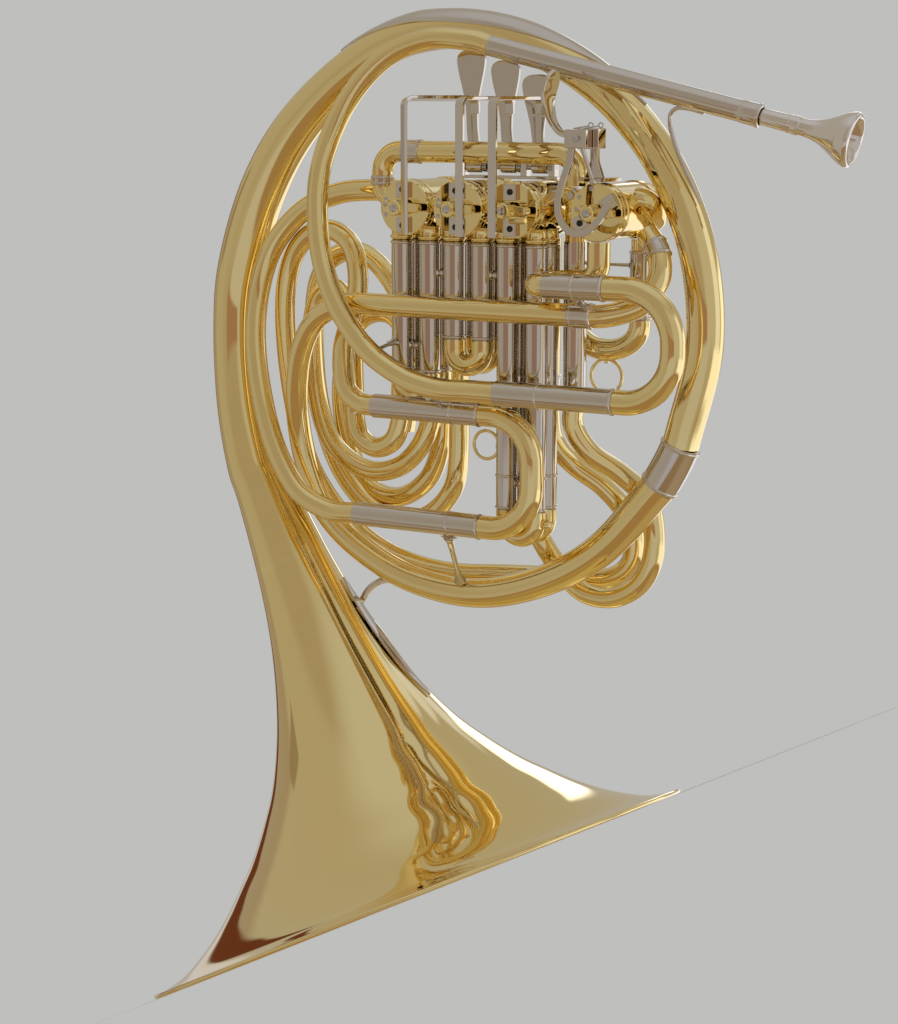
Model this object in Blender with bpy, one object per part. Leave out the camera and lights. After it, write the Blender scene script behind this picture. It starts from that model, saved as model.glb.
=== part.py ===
"""Double french horn with three finger valves and a thumb valve.

The plumbing is laid out in the horn's own frame: X runs right in the plane of the body, Y runs back
and Z up, from the centre of the round body. One empty then tips that frame, so that the horn stands
on its bell rim. Lengths named below are in millimetres; MM turns them into metres.
"""

import math

import bmesh
import bpy
from mathutils import Matrix, Vector

MM = 0.001
WELD = 0.000002  # metres; points this close after a Boolean are one
GAP = 0.4  # clearance left between neighbouring pieces

# How the horn stands: the bell's axis leans from the body's vertical, and the origin is on the floor.
BELL_TILT = math.radians(28.2)
BELL_LEAN = math.radians(4.5)
FLOOR_CENTRE = (-27.9, -1.7, -280.5)

# Bell and body tube.
BELL_RADIUS = 155.0
BELL_WALL = 0.8
RIM_WIDTH = 3.0
RIM_HEIGHT = 2.4
RIM_CENTRE = (-4.8, -23.7, -319.7)
FLARE_LENGTH = 250.0
BELL_PROFILE = (
    (6.5, 134.5), (16.7, 117.2), (28.0, 103.0), (40.0, 90.6), (52.0, 79.0), (68.0, 66.5),
    (88.0, 53.6), (118.0, 40.4), (154.0, 29.6), (190.0, 22.8), (225.0, 18.6), (FLARE_LENGTH, 16.4),
)
BODY_RADIUS = 150.0
TAIL_RADIUS = 9.6
FERRULE_FROM, FERRULE_TO = -23.5, -33.0
FERRULE_RADIUS = 10.2

# Tubing radii.
MAIN_TUBE = 5.9
MAIN_SLEEVE = 6.4
MAIN_BORE = 5.8
MAIN_LEG = 5.4
SMALL_TUBE = 5.6
SMALL_SLEEVE = 5.7
SMALL_BORE = 5.1
SMALL_LEG = 4.7
SMALL_WALL = (SMALL_BORE + SMALL_SLEEVE) / 2 * math.cos(math.pi / 8)  # middle of a sleeve's flat
LEAD_RADIUS = 5.5

# Valves.
VALVE_PITCH = 32.2
VALVE_X = (-9.0, -9.0 + VALVE_PITCH, -9.0 + 2 * VALVE_PITCH, 103.5)
VALVE_Z = 58.5
CASING_RADIUS = 14.2
CASING_BORE = 12.2
CASING_FRONT, CASING_BACK = -27.5, 13.0
PLATE_RADIUS = 14.7
ROTOR_RADIUS = 11.7
STEM_RADIUS = 2.6
PORT_SPREAD = 8.5
FRONT_ROW, BACK_ROW, THIRD_ROW = -20.0, -8.0, 6.0
PORT_END = 41.3

# Slides.
MAIN_SLIDE_Y = -46.0
MAIN_SLIDE_Z = (-33.5, 22.5)
F_SLIDE_Y = -33.0
F_SLIDE_Z = (-106.5, -47.0)
VALVE_SLIDE_ENDS = (-29.0, -10.0, -98.0)
VALVE_LEG_LENGTHS = (42.0, 30.0, 60.0)

# Levers.
HINGE_Y, HINGE_Z = -6.0, 79.5
LEVER_FRONT_X = (4.0, 37.0, 56.0)
LEVER_BACK_X = (19.5, 40.0, 58.5)
LEVER_FRONT_Y = -52.0
LEVER_TOP = 114.5
LEAF_TOP = (139.0, 133.6, 126.2)
THUMB_PIVOT = (100.0, 95.0)

BRASS = (0.80, 0.58, 0.25)
NICKEL = (0.66, 0.60, 0.54)
SILVER = (0.85, 0.84, 0.82)


# ---------------------------------------------------------------- general helpers

def clear_scene():
    for obj in list(bpy.data.objects):
        bpy.data.objects.remove(obj, do_unlink=True)


def metal(name, colour, roughness):
    mat = bpy.data.materials.new(name)
    mat.use_nodes = True
    shader = mat.node_tree.nodes["Principled BSDF"]
    shader.inputs["Base Color"].default_value = (*colour, 1.0)
    shader.inputs["Metallic"].default_value = 1.0
    shader.inputs["Roughness"].default_value = roughness
    mat.diffuse_color = (*colour, 1.0)
    return mat


def add_object(name, bm, mat, pivot=(0.0, 0.0, 0.0), kept=True):
    """Makes an object from a bmesh in horn millimetres, with its origin at the pivot."""
    bmesh.ops.translate(bm, verts=bm.verts, vec=-Vector(pivot))
    bmesh.ops.scale(bm, verts=bm.verts, vec=(MM, MM, MM))
    bmesh.ops.recalc_face_normals(bm, faces=bm.faces)
    if bm.calc_volume(signed=True) < 0:
        bmesh.ops.reverse_faces(bm, faces=bm.faces)
    mesh = bpy.data.meshes.new(name)
    bm.to_mesh(mesh)
    bm.free()
    obj = bpy.data.objects.new(name, mesh)
    mesh.materials.append(mat)
    obj.location = Vector(pivot) * MM
    if kept:
        horn.objects.link(obj)
        obj.parent = root
    else:
        cutters.objects.link(obj)
        obj.hide_render = True
        obj.display_type = "WIRE"
    return obj


def combine(obj, bm, operation, pivot=None):
    """Adds or cuts the bmesh, given in horn millimetres, and applies the result."""
    where = Vector(obj.location) / MM if pivot is None else Vector(pivot)
    tool = add_object(obj.name + "_tool", bm, obj.data.materials[0], where, kept=False)
    tool.parent = obj.parent
    modifier = obj.modifiers.new("Boolean", "BOOLEAN")
    modifier.operation = operation
    modifier.solver = "EXACT"
    modifier.object = tool
    bpy.context.view_layer.update()
    graph = bpy.context.evaluated_depsgraph_get()
    mesh = bpy.data.meshes.new_from_object(obj.evaluated_get(graph))
    obj.modifiers.clear()
    tidy = bmesh.new()
    tidy.from_mesh(mesh)
    bmesh.ops.remove_doubles(tidy, verts=tidy.verts, dist=WELD)
    bmesh.ops.dissolve_degenerate(tidy, edges=tidy.edges, dist=WELD)
    tidy.to_mesh(mesh)
    tidy.free()
    old = obj.data
    obj.data = mesh
    bpy.data.meshes.remove(old)
    bpy.data.objects.remove(tool, do_unlink=True)
    return obj


def join(obj, bm):
    return combine(obj, bm, "UNION")


def cut(obj, bm):
    return combine(obj, bm, "DIFFERENCE")


def fillet(corners, bend, step=18.0):
    """A route through the corners, each inner corner rounded by an arc of the bend radius."""
    points = [Vector(c) for c in corners]
    bends = bend if isinstance(bend, (list, tuple)) else [bend] * (len(points) - 2)
    path = [points[0]]
    for before, corner, after, radius in zip(points, points[1:], points[2:], bends):
        inward = (before - corner).normalized()
        outward = (after - corner).normalized()
        turn = math.pi - inward.angle(outward)
        if turn < math.radians(4):
            path.append(corner)
            continue
        reach = radius * math.tan(turn / 2)
        centre = corner + (inward + outward).normalized() * radius / math.cos(turn / 2)
        start = corner + inward * reach - centre
        axis = start.cross(corner + outward * reach - centre).normalized()
        count = max(2, math.ceil(math.degrees(turn) / step))
        for k in range(count + 1):
            path.append(centre + Matrix.Rotation(turn * k / count, 3, axis) @ start)
    path.append(points[-1])
    return path


def smooth(points, per_span=3):
    """A Catmull-Rom curve through the points."""
    p = [Vector(q) for q in points]
    p = [2 * p[0] - p[1]] + p + [2 * p[-1] - p[-2]]
    path = []
    for a, b, c, d in zip(p, p[1:], p[2:], p[3:]):
        for k in range(per_span):
            t = k / per_span
            path.append(0.5 * (2 * b + (c - a) * t + (2 * a - 5 * b + 4 * c - d) * t * t
                               + (3 * b - a - 3 * c + d) * t ** 3))
    return path + [p[-2]]


def frames_along(path, first=None):
    """A tangent, a normal and a binormal at each point, turned as little as possible."""
    tangents = []
    for k, point in enumerate(path):
        ahead = (path[k + 1] - point).normalized() if k + 1 < len(path) else None
        behind = (point - path[k - 1]).normalized() if k else None
        tangents.append(((ahead or behind) + (behind or ahead)).normalized())
    normal = first or Vector((0, 1, 0))
    frames = []
    for tangent in tangents:
        if abs(normal.dot(tangent)) > 0.98:
            normal = Vector((1, 0, 0))
        normal = (normal - tangent * normal.dot(tangent)).normalized()
        frames.append((tangent, normal, tangent.cross(normal)))
    return frames


def skin(bm, rings, closed=False):
    """Joins equal rings of vertices with quads, and caps both ends unless it is closed."""
    count = len(rings[0])
    pairs = list(zip(rings, rings[1:])) + ([(rings[-1], rings[0])] if closed else [])
    for low, high in pairs:
        for k in range(count):
            n = (k + 1) % count
            bm.faces.new((low[k], low[n], high[n], high[k]))
    if not closed:
        bm.faces.new(rings[0][::-1])
        bm.faces.new(rings[-1])


def tube(path, radius, sides=10, bore=None, bm=None):
    """A round tube along the path. Radius and bore are one value or one for each point."""
    bm = bm or bmesh.new()
    radii = radius if isinstance(radius, (list, tuple)) else [radius] * len(path)
    frames = frames_along([Vector(p) for p in path])

    def ring(k, size):
        _, normal, side = frames[k]
        turns = [2 * math.pi * (n + 0.5) / sides for n in range(sides)]
        return [bm.verts.new(Vector(path[k]) + size * (math.cos(t) * normal + math.sin(t) * side))
                for t in turns]

    outer = [ring(k, radii[k]) for k in range(len(path))]
    if bore is None:
        skin(bm, outer)
        return bm
    bores = bore if isinstance(bore, (list, tuple)) else [bore] * len(path)
    inner = [ring(k, bores[k]) for k in range(len(path))]
    skin(bm, outer + inner[::-1], closed=True)
    return bm


def rod(start, end, radius, sides=10, bore=None, bm=None):
    return tube([Vector(start), Vector(end)], radius, sides, bore, bm)


def strip(path, width, thickness, across, bm=None):
    """A flat bar along the path, its width laid along the given direction."""
    bm = bm or bmesh.new()
    rings = []
    for k, (tangent, normal, side) in enumerate(frames_along(path, Vector(across))):
        w = width[k] if isinstance(width, (list, tuple)) else width
        corners = ((-1, -1), (1, -1), (1, 1), (-1, 1))
        rings.append([bm.verts.new(path[k] + normal * w / 2 * u + side * thickness / 2 * v)
                      for u, v in corners])
    skin(bm, rings)
    return bm


def lathe(profile, centre, direction, sides, bm=None):
    """Turns a closed profile of (distance along the direction, radius) points about it."""
    bm = bm or bmesh.new()
    axis = Vector(direction).normalized()
    normal = Vector((0, 1, 0)) if abs(axis.y) < 0.9 else Vector((1, 0, 0))
    normal = (normal - axis * normal.dot(axis)).normalized()
    side = axis.cross(normal)
    rings = []
    for along, radius in profile:
        base = Vector(centre) + axis * along
        turns = [2 * math.pi * (n + 0.5) / sides for n in range(sides)]
        points = [base] if radius == 0 else [
            base + radius * (math.cos(t) * normal + math.sin(t) * side) for t in turns]
        rings.append([bm.verts.new(p) for p in points])
    for low, high in zip(rings, rings[1:] + rings[:1]):
        for k in range(sides):
            n = (k + 1) % sides
            corners = [low[k % len(low)], low[n % len(low)], high[n % len(high)], high[k % len(high)]]
            face = list(dict.fromkeys(corners))
            if len(face) > 2:
                bm.faces.new(face)
    return bm


def block(low, high, bm=None):
    bm = bm or bmesh.new()
    corners = [(x, y, z) for x in (low[0], high[0]) for y in (low[1], high[1]) for z in (low[2], high[2])]
    v = [bm.verts.new(c) for c in corners]
    for face in ((0, 1, 3, 2), (4, 6, 7, 5), (0, 4, 5, 1), (2, 3, 7, 6), (0, 2, 6, 4), (1, 5, 7, 3)):
        bm.faces.new([v[k] for k in face])
    return bm


def slab(outline, low, high, axis):
    """A flat outline pushed through from low to high along Y or X."""
    bm = bmesh.new()
    place = (lambda a, b, c: (a, c, b)) if axis == "Y" else (lambda a, b, c: (c, a, b))
    skin(bm, [[bm.verts.new(place(a, b, c)) for a, b in outline] for c in (low, high)])
    return bm


# ---------------------------------------------------------------- bell and body

def lean():
    """The turn from the horn's frame to the world."""
    return Matrix.Rotation(BELL_LEAN, 3, "X") @ Matrix.Rotation(BELL_TILT, 3, "Y")


def bell_axis():
    return lean().transposed() @ Vector((0, 0, 1))


def bell_point(along, turn, radius):
    """A point round the bell: distance from the rim, angle from the body side, and radius."""
    spoke = lean().transposed() @ Vector((math.cos(turn), math.sin(turn), 0))
    return Vector(RIM_CENTRE) + along * bell_axis() + radius * spoke


def bell_radius(along):
    points = ((0.0, BELL_RADIUS),) + BELL_PROFILE
    for (a, ra), (b, rb) in zip(points, points[1:]):
        if a <= along <= b:
            return ra + (rb - ra) * (along - a) / (b - a)
    return points[-1][1]


def make_bell_flare():
    outside = [(0.0, BELL_RADIUS), (RIM_HEIGHT, BELL_RADIUS), (RIM_HEIGHT, BELL_RADIUS - 7.5)]
    outside += BELL_PROFILE
    inside = [(t - BELL_WALL * 0.4, r - BELL_WALL) for t, r in reversed(BELL_PROFILE[:-1])]
    inside = [(FLARE_LENGTH, BELL_PROFILE[-1][1] - BELL_WALL)] + inside
    inside += [(RIM_HEIGHT - 1.0, BELL_RADIUS - 8.5), (0.0, BELL_RADIUS - RIM_WIDTH)]
    bm = lathe(outside + inside, RIM_CENTRE, bell_axis(), 36)
    return add_object("bell_flare", bm, brass)


def body_point(degrees, radius, y=0.0):
    turn = math.radians(degrees)
    return Vector((radius * math.cos(turn), y, radius * math.sin(turn)))


def tail_path():
    """The bell's throat, then over the top of the body to the ferrule on the right."""
    throat = [Vector(RIM_CENTRE) + t * bell_axis() for t in (FLARE_LENGTH + 3 * GAP, 262.0)]
    left = [Vector((-137.4, -1.0, -57.0)), Vector((-141.0, 0.0, -16.0)), Vector((-137.5, 0.0, 20.0)),
            Vector((-121.5, 0.0, 64.0)), Vector((-97.0, 0.0, 100.0)), Vector((-61.0, 0.0, 130.0)),
            Vector((-25.0, 0.0, 147.0))]
    over = [body_point(82 + (FERRULE_FROM - 82) * k / 5, BODY_RADIUS) for k in range(6)]
    path = smooth(throat + left + over, 2)
    path.insert(1, throat[0] + bell_axis())
    path.insert(-1, body_point(FERRULE_FROM + 0.8, BODY_RADIUS))
    return path


def tail_radii(count):
    """Wide at the throat, narrowing over the first half and nearly even after it."""
    keys = (16.4, 15.9, 14.6, 13.6, 13.3, 13.2, 12.3, 11.2, 10.4, 10.1, 10.0, 9.9, 9.8, 9.7, 9.6)
    radii = []
    for k in range(count):
        place = k / (count - 1) * (len(keys) - 1)
        low = min(int(place), len(keys) - 2)
        radii.append(keys[low] + (keys[low + 1] - keys[low]) * (place - low))
    return radii


def make_bell_tail():
    path = tail_path()
    radii = tail_radii(len(path))
    bm = tube(path, radii, 12, [r - BELL_WALL for r in radii])
    return add_object("bell_tail", bm, brass)


def make_ferrule():
    first, last = FERRULE_FROM - GAP, FERRULE_TO + GAP
    turns = [first + (last - first) * k / 4 for k in range(5)]
    path = [body_point(t, BODY_RADIUS) for t in turns]
    return add_object("bell_ferrule", tube(path, FERRULE_RADIUS, 16, TAIL_RADIUS - 1.2), nickel)


def make_body_branch():
    """From the ferrule round the bottom, up inside the left and across to the thumb valve."""
    bottom = [body_point(t, r, y) for t, r, y in (
        (FERRULE_TO, BODY_RADIUS, 0), (-52, 150.5, 0), (-68, 151, 0), (-84, 151.5, 0), (-100, 149, 0),
        (-114, 144, -2), (-125, 137, -5), (-134, 125, -9))]
    left = [Vector((-89.0, -14.0, -67.0)), Vector((-86.5, -20.0, -44.0)), Vector((-78.0, -27.0, -20.0)),
            Vector((-64.0, -32.0, -2.0)), Vector((-45.0, -33.0, 6.5)), Vector((-25.0, -33.0, 7.0))]
    right = [Vector((92.0, -33.0, 7.0)), Vector((110.0, -32.0, 7.5)), Vector((126.0, -27.0, 13.0)),
             Vector((133.0, -20.0, 25.0)), Vector((130.0, -14.0, 38.0)), Vector((121.5, -10.0, 48.0))]
    path = smooth(bottom + left, 2) + smooth(right, 3)
    path.insert(1, body_point(FERRULE_TO - 0.8, BODY_RADIUS))
    wide = 15
    radii = [9.6 - (9.6 - 6.6) * k / wide for k in range(wide)]
    radii += [max(MAIN_TUBE, 6.6 - 0.06 * k) for k in range(len(path) - wide)]
    return add_object("body_branch", tube(path, radii, 10), brass)


def make_guard_plate():
    """A thin plate over the top of the body tube, pointed at both ends."""
    bm = bmesh.new()
    count, across = 14, 6
    rings = []
    for k in range(count + 1):
        share = k / count
        degrees = 116 - 72 * share
        path_radius = BODY_RADIUS - 6.5 * max(0.0, (degrees - 96) / 20) ** 1.2
        tube_radius = 10.1 + 1.2 * max(0.0, (degrees - 90) / 26)
        half = math.radians(8 + 62 * math.sin(math.pi * min(1.0, share * 1.15)) ** 0.7
                            if share < 0.87 else 8 + 30 * (1 - share) / 0.13)
        centre = body_point(degrees, path_radius)
        out = body_point(degrees, 1.0)
        inner, outer = [], []
        for n in range(across + 1):
            turn = -half + 2 * half * n / across
            spoke = math.cos(turn) * out + math.sin(turn) * Vector((0, -1, 0))
            inner.append(bm.verts.new(centre + (tube_radius + 0.6) * spoke))
            outer.append(bm.verts.new(centre + (tube_radius + 1.5) * spoke))
        rings.append(inner + outer[::-1])
    skin(bm, rings)
    return add_object("guard_plate", bm, nickel)


# ---------------------------------------------------------------- mouthpipe

MOUTHPIPE_START = Vector((37.0, -22.0, 141.0))
RECEIVER_END = Vector((181.0, -8.0, 106.0))


def mouth_direction():
    return (RECEIVER_END - MOUTHPIPE_START).normalized()


def make_lead_pipe():
    start = MOUTHPIPE_START - mouth_direction() * 2 * GAP
    curve = smooth([start, start - mouth_direction() * 12, Vector((0.0, -23.5, 144.5)),
                    Vector((-26.0, -25.5, 134.0)), Vector((-47.0, -30.0, 110.0)),
                    Vector((-58.0, -37.0, 76.0)), Vector((-55.0, -43.0, 41.0)),
                    Vector((-44.0, -46.0, 11.0)), Vector((-25.0, -46.0, -14.0)),
                    Vector((-2.0, -46.0, -28.0)), Vector((20.0, -46.0, MAIN_SLIDE_Z[0])),
                    Vector((40.0, -46.0, MAIN_SLIDE_Z[0])), Vector((54.6, -46.0, MAIN_SLIDE_Z[0]))], 3)
    radii = [LEAD_RADIUS + (MAIN_TUBE - LEAD_RADIUS) * k / (len(curve) - 1) for k in range(len(curve))]
    return add_object("lead_pipe", tube(curve, radii, 10), brass)


def make_receiver():
    length = (RECEIVER_END - MOUTHPIPE_START).length
    outline = [(0, 5.6), (length - 3.5, 5.2), (length - 3.5, 5.9), (length, 5.9),
               (length, 4.4), (length - 22, 4.0), (length - 22, 3.0), (0, 3.4)]
    return add_object("mouthpipe_receiver",
                      lathe(outline, MOUTHPIPE_START, mouth_direction(), 12), nickel)


def make_mouthpiece():
    """Distances run from the end of the receiver: the shank is inside it, the rim is 48 mm out."""
    rim = 48.5
    outside = [(-18.0, 3.4), (1.0, 3.9), (1.4, 4.2), (14.0, 4.3), (14.4, 4.7), (20.4, 4.7), (20.8, 4.2),
               (25.0, 4.6), (30.0, 5.7), (35.0, 8.0), (40.0, 10.9), (44.0, 12.9), (47.0, 13.6), (rim, 12.4)]
    inside = [(rim, 10.4), (46.5, 9.2), (38.0, 6.6), (28.0, 3.2), (22.0, 2.3), (-18.0, 2.8)]
    bm = lathe(outside + inside, RECEIVER_END, mouth_direction(), 16)
    return add_object("mouthpiece", bm, silver, RECEIVER_END)


def make_lead_brace():
    """A bent flat wire from the receiver down to the outside of the body tube."""
    path = smooth([(154.0, -9.7, 105.2), (144.6, -9.2, 107.0), (136.5, -8.6, 108.2), (132.4, -8.2, 105.0),
                   (133.2, -7.6, 98.6), (136.6, -6.6, 90.0), (140.6, -5.6, 80.8), (145.0, -4.4, 71.4),
                   (148.6, -3.2, 62.6)], 2)
    return add_object("lead_pipe_brace", strip(path, 2.4, 1.8, (0, 1, 0)), nickel)


# ---------------------------------------------------------------- branches

def make_crossover():
    """The tube over the top from the first valve to the thumb valve."""
    x1, x4 = VALVE_X[0] - CASING_RADIUS - 6.2, VALVE_X[3] - CASING_RADIUS - 2.6
    path = fillet([(x1 + 3.5, FRONT_ROW, 63.5), (x1, FRONT_ROW, 66.0), (x1, FRONT_ROW, 87.0),
                   (x4, FRONT_ROW, 87.0), (x4, FRONT_ROW, 71.0)], [4.0, 11.0, 11.0])
    return add_object("crossover_tube", tube(path, SMALL_TUBE, 10), brass)


def make_change_inlet():
    """From the main slide's upper sleeve back and up into the thumb valve."""
    z = MAIN_SLIDE_Z[1]
    path = fillet([(82.3, MAIN_SLIDE_Y, z), (75.2, MAIN_SLIDE_Y, z), (75.2, FRONT_ROW, z),
                   (VALVE_X[3] - 4.0, FRONT_ROW, z + 1), (VALVE_X[3] - 4.0, FRONT_ROW, 43.2)],
                  [6.6, 9.0, 9.0])
    return add_object("change_valve_inlet", tube(path, MAIN_TUBE, 10), brass)


def make_first_branch():
    """From the left of the first valve down the left side to the F slide."""
    path = smooth([(-24.0, -8.0, 65.0), (-36.0, -8.0, 66.0), (-64.0, -8.0, 64.0), (-88.0, -9.0, 54.0),
                   (-107.0, -11.0, 34.0), (-116.0, -13.0, 8.0), (-116.0, -17.0, -20.0),
                   (-108.0, -22.0, -51.0), (-95.0, -28.0, -77.0), (-77.0, -32.0, -98.0),
                   (-56.0, -33.0, -106.5), (-40.0, -33.0, -106.5)], 2)
    return add_object("first_branch", tube(path, MAIN_TUBE, 10), brass)


def make_f_extension():
    """From the F slide up and over the inner left arch, round the bottom and up to the third valve."""
    path = smooth([(-27.4, -33.0, -47.0), (-36.0, -33.0, -46.0), (-46.0, -32.5, -38.0),
                   (-51.0, -27.0, -20.0), (-51.5, -19.0, -4.0), (-50.0, -14.0, 12.0),
                   (-53.0, -10.0, 27.0), (-60.0, -7.5, 38.0), (-72.0, -6.0, 43.5),
                   (-87.0, -4.0, 41.0), (-99.0, -3.0, 29.0), (-105.5, -2.0, 10.0),
                   (-107.5, 0.0, -16.0), (-105.0, 2.0, -48.0), (-98.0, 4.0, -82.0),
                   (-84.0, 7.0, -108.0), (-63.0, 11.0, -129.0), (-38.0, 14.0, -140.5),
                   (-8.0, 15.5, -144.5), (25.0, 20.0, -143.0), (58.0, 27.0, -142.0),
                   (81.0, 30.0, -141.0), (94.0, 31.0, -132.0), (97.0, 30.0, -118.0),
                   (93.0, 27.0, -103.0), (82.0, 22.0, -89.0), (68.0, 16.0, -78.0),
                   (60.0, 9.0, -66.0), (58.0, 6.0, -50.0), (58.0, 6.0, 0.0), (58.0, 6.0, 43.0)], 2)
    return add_object("f_extension", tube(path, SMALL_TUBE, 8), brass)


def make_s_branch():
    """From the third valve down, out through the lower right loop and back up behind the slides."""
    path = fillet([(71.0, -4.0, 66.0), (78.0, -4.0, 66.0), (78.0, -4.0, 50.0)], [5.5])
    path += smooth([(78.0, -4.0, -40.0), (77.0, -3.0, -54.0), (85.0, 1.0, -68.0), (98.0, 10.0, -79.0),
                    (110.0, 16.5, -92.0), (115.0, 17.0, -108.0), (114.0, 17.0, -126.0),
                    (106.0, 17.0, -140.0), (91.0, 17.0, -148.0), (74.0, 16.0, -146.5),
                    (61.0, 14.6, -134.0), (52.0, 8.0, -118.0), (46.0, 6.0, -100.0)], 2)
    path += [Vector((44.5, 6.0, -60.0)), Vector((44.5, 6.0, 43.0))]
    return add_object("s_branch", tube(path, SMALL_TUBE, 8), brass)


def make_left_coil():
    """The nested loops behind the left side, three turns from the first valve to the second."""
    path = smooth([(-32.0, 4.0, 43.0), (-32.0, 3.0, 0.0), (-32.0, 1.0, -60.0), (-36.5, 0.5, -72.0),
                   (-47.5, 0.5, -77.5), (-58.5, 1.0, -72.0), (-63.0, 2.0, -60.0), (-66.0, 4.0, -20.0),
                   (-70.0, 7.0, 0.0), (-80.0, 10.0, 10.0), (-92.0, 12.0, 6.0), (-98.0, 13.0, -12.0),
                   (-97.0, 14.0, -46.0), (-89.0, 14.0, -73.0), (-74.0, 14.0, -87.0),
                   (-56.0, 14.0, -91.5), (-37.0, 14.0, -85.0), (-24.0, 15.0, -68.0),
                   (-22.0, 16.0, -48.0), (-30.0, 17.0, -20.0), (-44.0, 18.5, 8.0),
                   (-62.0, 21.0, 26.0), (-82.0, 24.0, 30.0), (-99.0, 26.0, 19.0),
                   (-106.0, 27.0, -4.0), (-105.0, 27.0, -48.0), (-94.0, 27.0, -86.0),
                   (-76.0, 27.0, -110.0), (-54.0, 26.0, -120.0), (-31.0, 23.0, -117.0),
                   (-13.0, 20.0, -103.0), (-6.0, 19.0, -84.0), (-5.0, 18.0, -40.0),
                   (-2.0, 12.0, 0.0), (0.0, 8.0, 22.0), (0.5, 6.0, 43.0)], 2)
    return add_object("left_coil", tube(path, SMALL_TUBE, 8), brass)


# ---------------------------------------------------------------- large slides

def sleeve(name, start, end):
    bm = rod(start, end, MAIN_SLEEVE, 12, MAIN_BORE)
    return add_object(name, bm, nickel)


def make_large_slide(name, y, levels, starts, ends, legs, reach, bend):
    """Two sleeves along X, and a bow whose legs run back inside them."""
    sleeve(name + "_lower_sleeve", (starts[0], y, levels[0]), (ends[0], y, levels[0]))
    sleeve(name + "_upper_sleeve", (starts[1], y, levels[1]), (ends[1], y, levels[1]))
    low, high = levels
    path = fillet([(ends[0] - legs[0], y, low), (ends[0], y, low), (ends[0] + 1.0, y, low),
                   (reach, y, low), (reach, y, high), (ends[1] + 1.0, y, high), (ends[1], y, high),
                   (ends[1] - legs[1], y, high)], [1, 1, bend, bend, 1, 1])
    return add_object(name + "_bow", tube(path, bow_radii(path, ends, levels), 12), brass)


def bow_radii(path, ends, levels):
    radii = []
    for p in path:
        in_leg = any(abs(p.z - z) < 0.5 and p.x < e + 0.5 for e, z in zip(ends, levels))
        radii.append(MAIN_LEG if in_leg else MAIN_SLEEVE - 0.2)
    return radii


def make_large_slides():
    make_large_slide("main_slide", MAIN_SLIDE_Y, MAIN_SLIDE_Z, (55.0, 83.0), (123.0, 117.0),
                     (60.0, 28.0), 154.0, 26.0)
    make_large_slide("f_slide", F_SLIDE_Y, F_SLIDE_Z, (-39.0, -27.0), (39.0, 39.0),
                     (66.0, 56.0), 69.0, 24.0)


# ---------------------------------------------------------------- valve slides

def make_valve_sleeves(index):
    """Four sleeves hang below each finger valve, held together by small braces."""
    x, bottom = VALVE_X[index], VALVE_SLIDE_ENDS[index]
    corners = [(x - PORT_SPREAD, FRONT_ROW), (x + PORT_SPREAD, FRONT_ROW),
               (x + PORT_SPREAD, BACK_ROW), (x - PORT_SPREAD, BACK_ROW)]
    top = PORT_END - GAP
    obj = None
    for sx, sy in corners:
        bm = rod((sx, sy, bottom), (sx, sy, top), SMALL_SLEEVE, 8, SMALL_BORE)
        obj = add_object(f"valve_sleeves_{index + 1}", bm, nickel) if obj is None else join(obj, bm)
    level = bottom + 14.0
    wall = SMALL_WALL
    join(obj, rod((x - PORT_SPREAD + wall, FRONT_ROW, level), (x + PORT_SPREAD - wall, FRONT_ROW, level),
                  1.3, 6))
    join(obj, rod((x - PORT_SPREAD + wall, BACK_ROW, level), (x + PORT_SPREAD - wall, BACK_ROW, level),
                  1.3, 6))
    join(obj, rod((x - PORT_SPREAD, FRONT_ROW + wall, level), (x - PORT_SPREAD, BACK_ROW - wall, level),
                  1.3, 6))
    return obj


def make_valve_bow(index, row, name):
    x, end = VALVE_X[index], VALVE_SLIDE_ENDS[index] - GAP
    top = end + VALVE_LEG_LENGTHS[index]
    radius = PORT_SPREAD
    path = [Vector((x - radius, row, top)), Vector((x - radius, row, end))]
    path += [Vector((x - radius * math.cos(math.pi * k / 8), row, end - 5.0 - radius * math.sin(math.pi * k / 8)))
             for k in range(9)]
    path += [Vector((x + radius, row, end)), Vector((x + radius, row, top))]
    path.insert(2, Vector((x - radius, row, end - 0.8)))
    path.insert(-2, Vector((x + radius, row, end - 0.8)))
    radii = [SMALL_LEG if p.z > end - 0.1 else SMALL_SLEEVE - 0.1 for p in path]
    return add_object(f"{name}_slide_{index + 1}", tube(path, radii, 8), brass, (x, row, end))


REAR_SLIDE_X = (71.0, 109.0)
REAR_SLIDE_Y = 9.0


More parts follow.
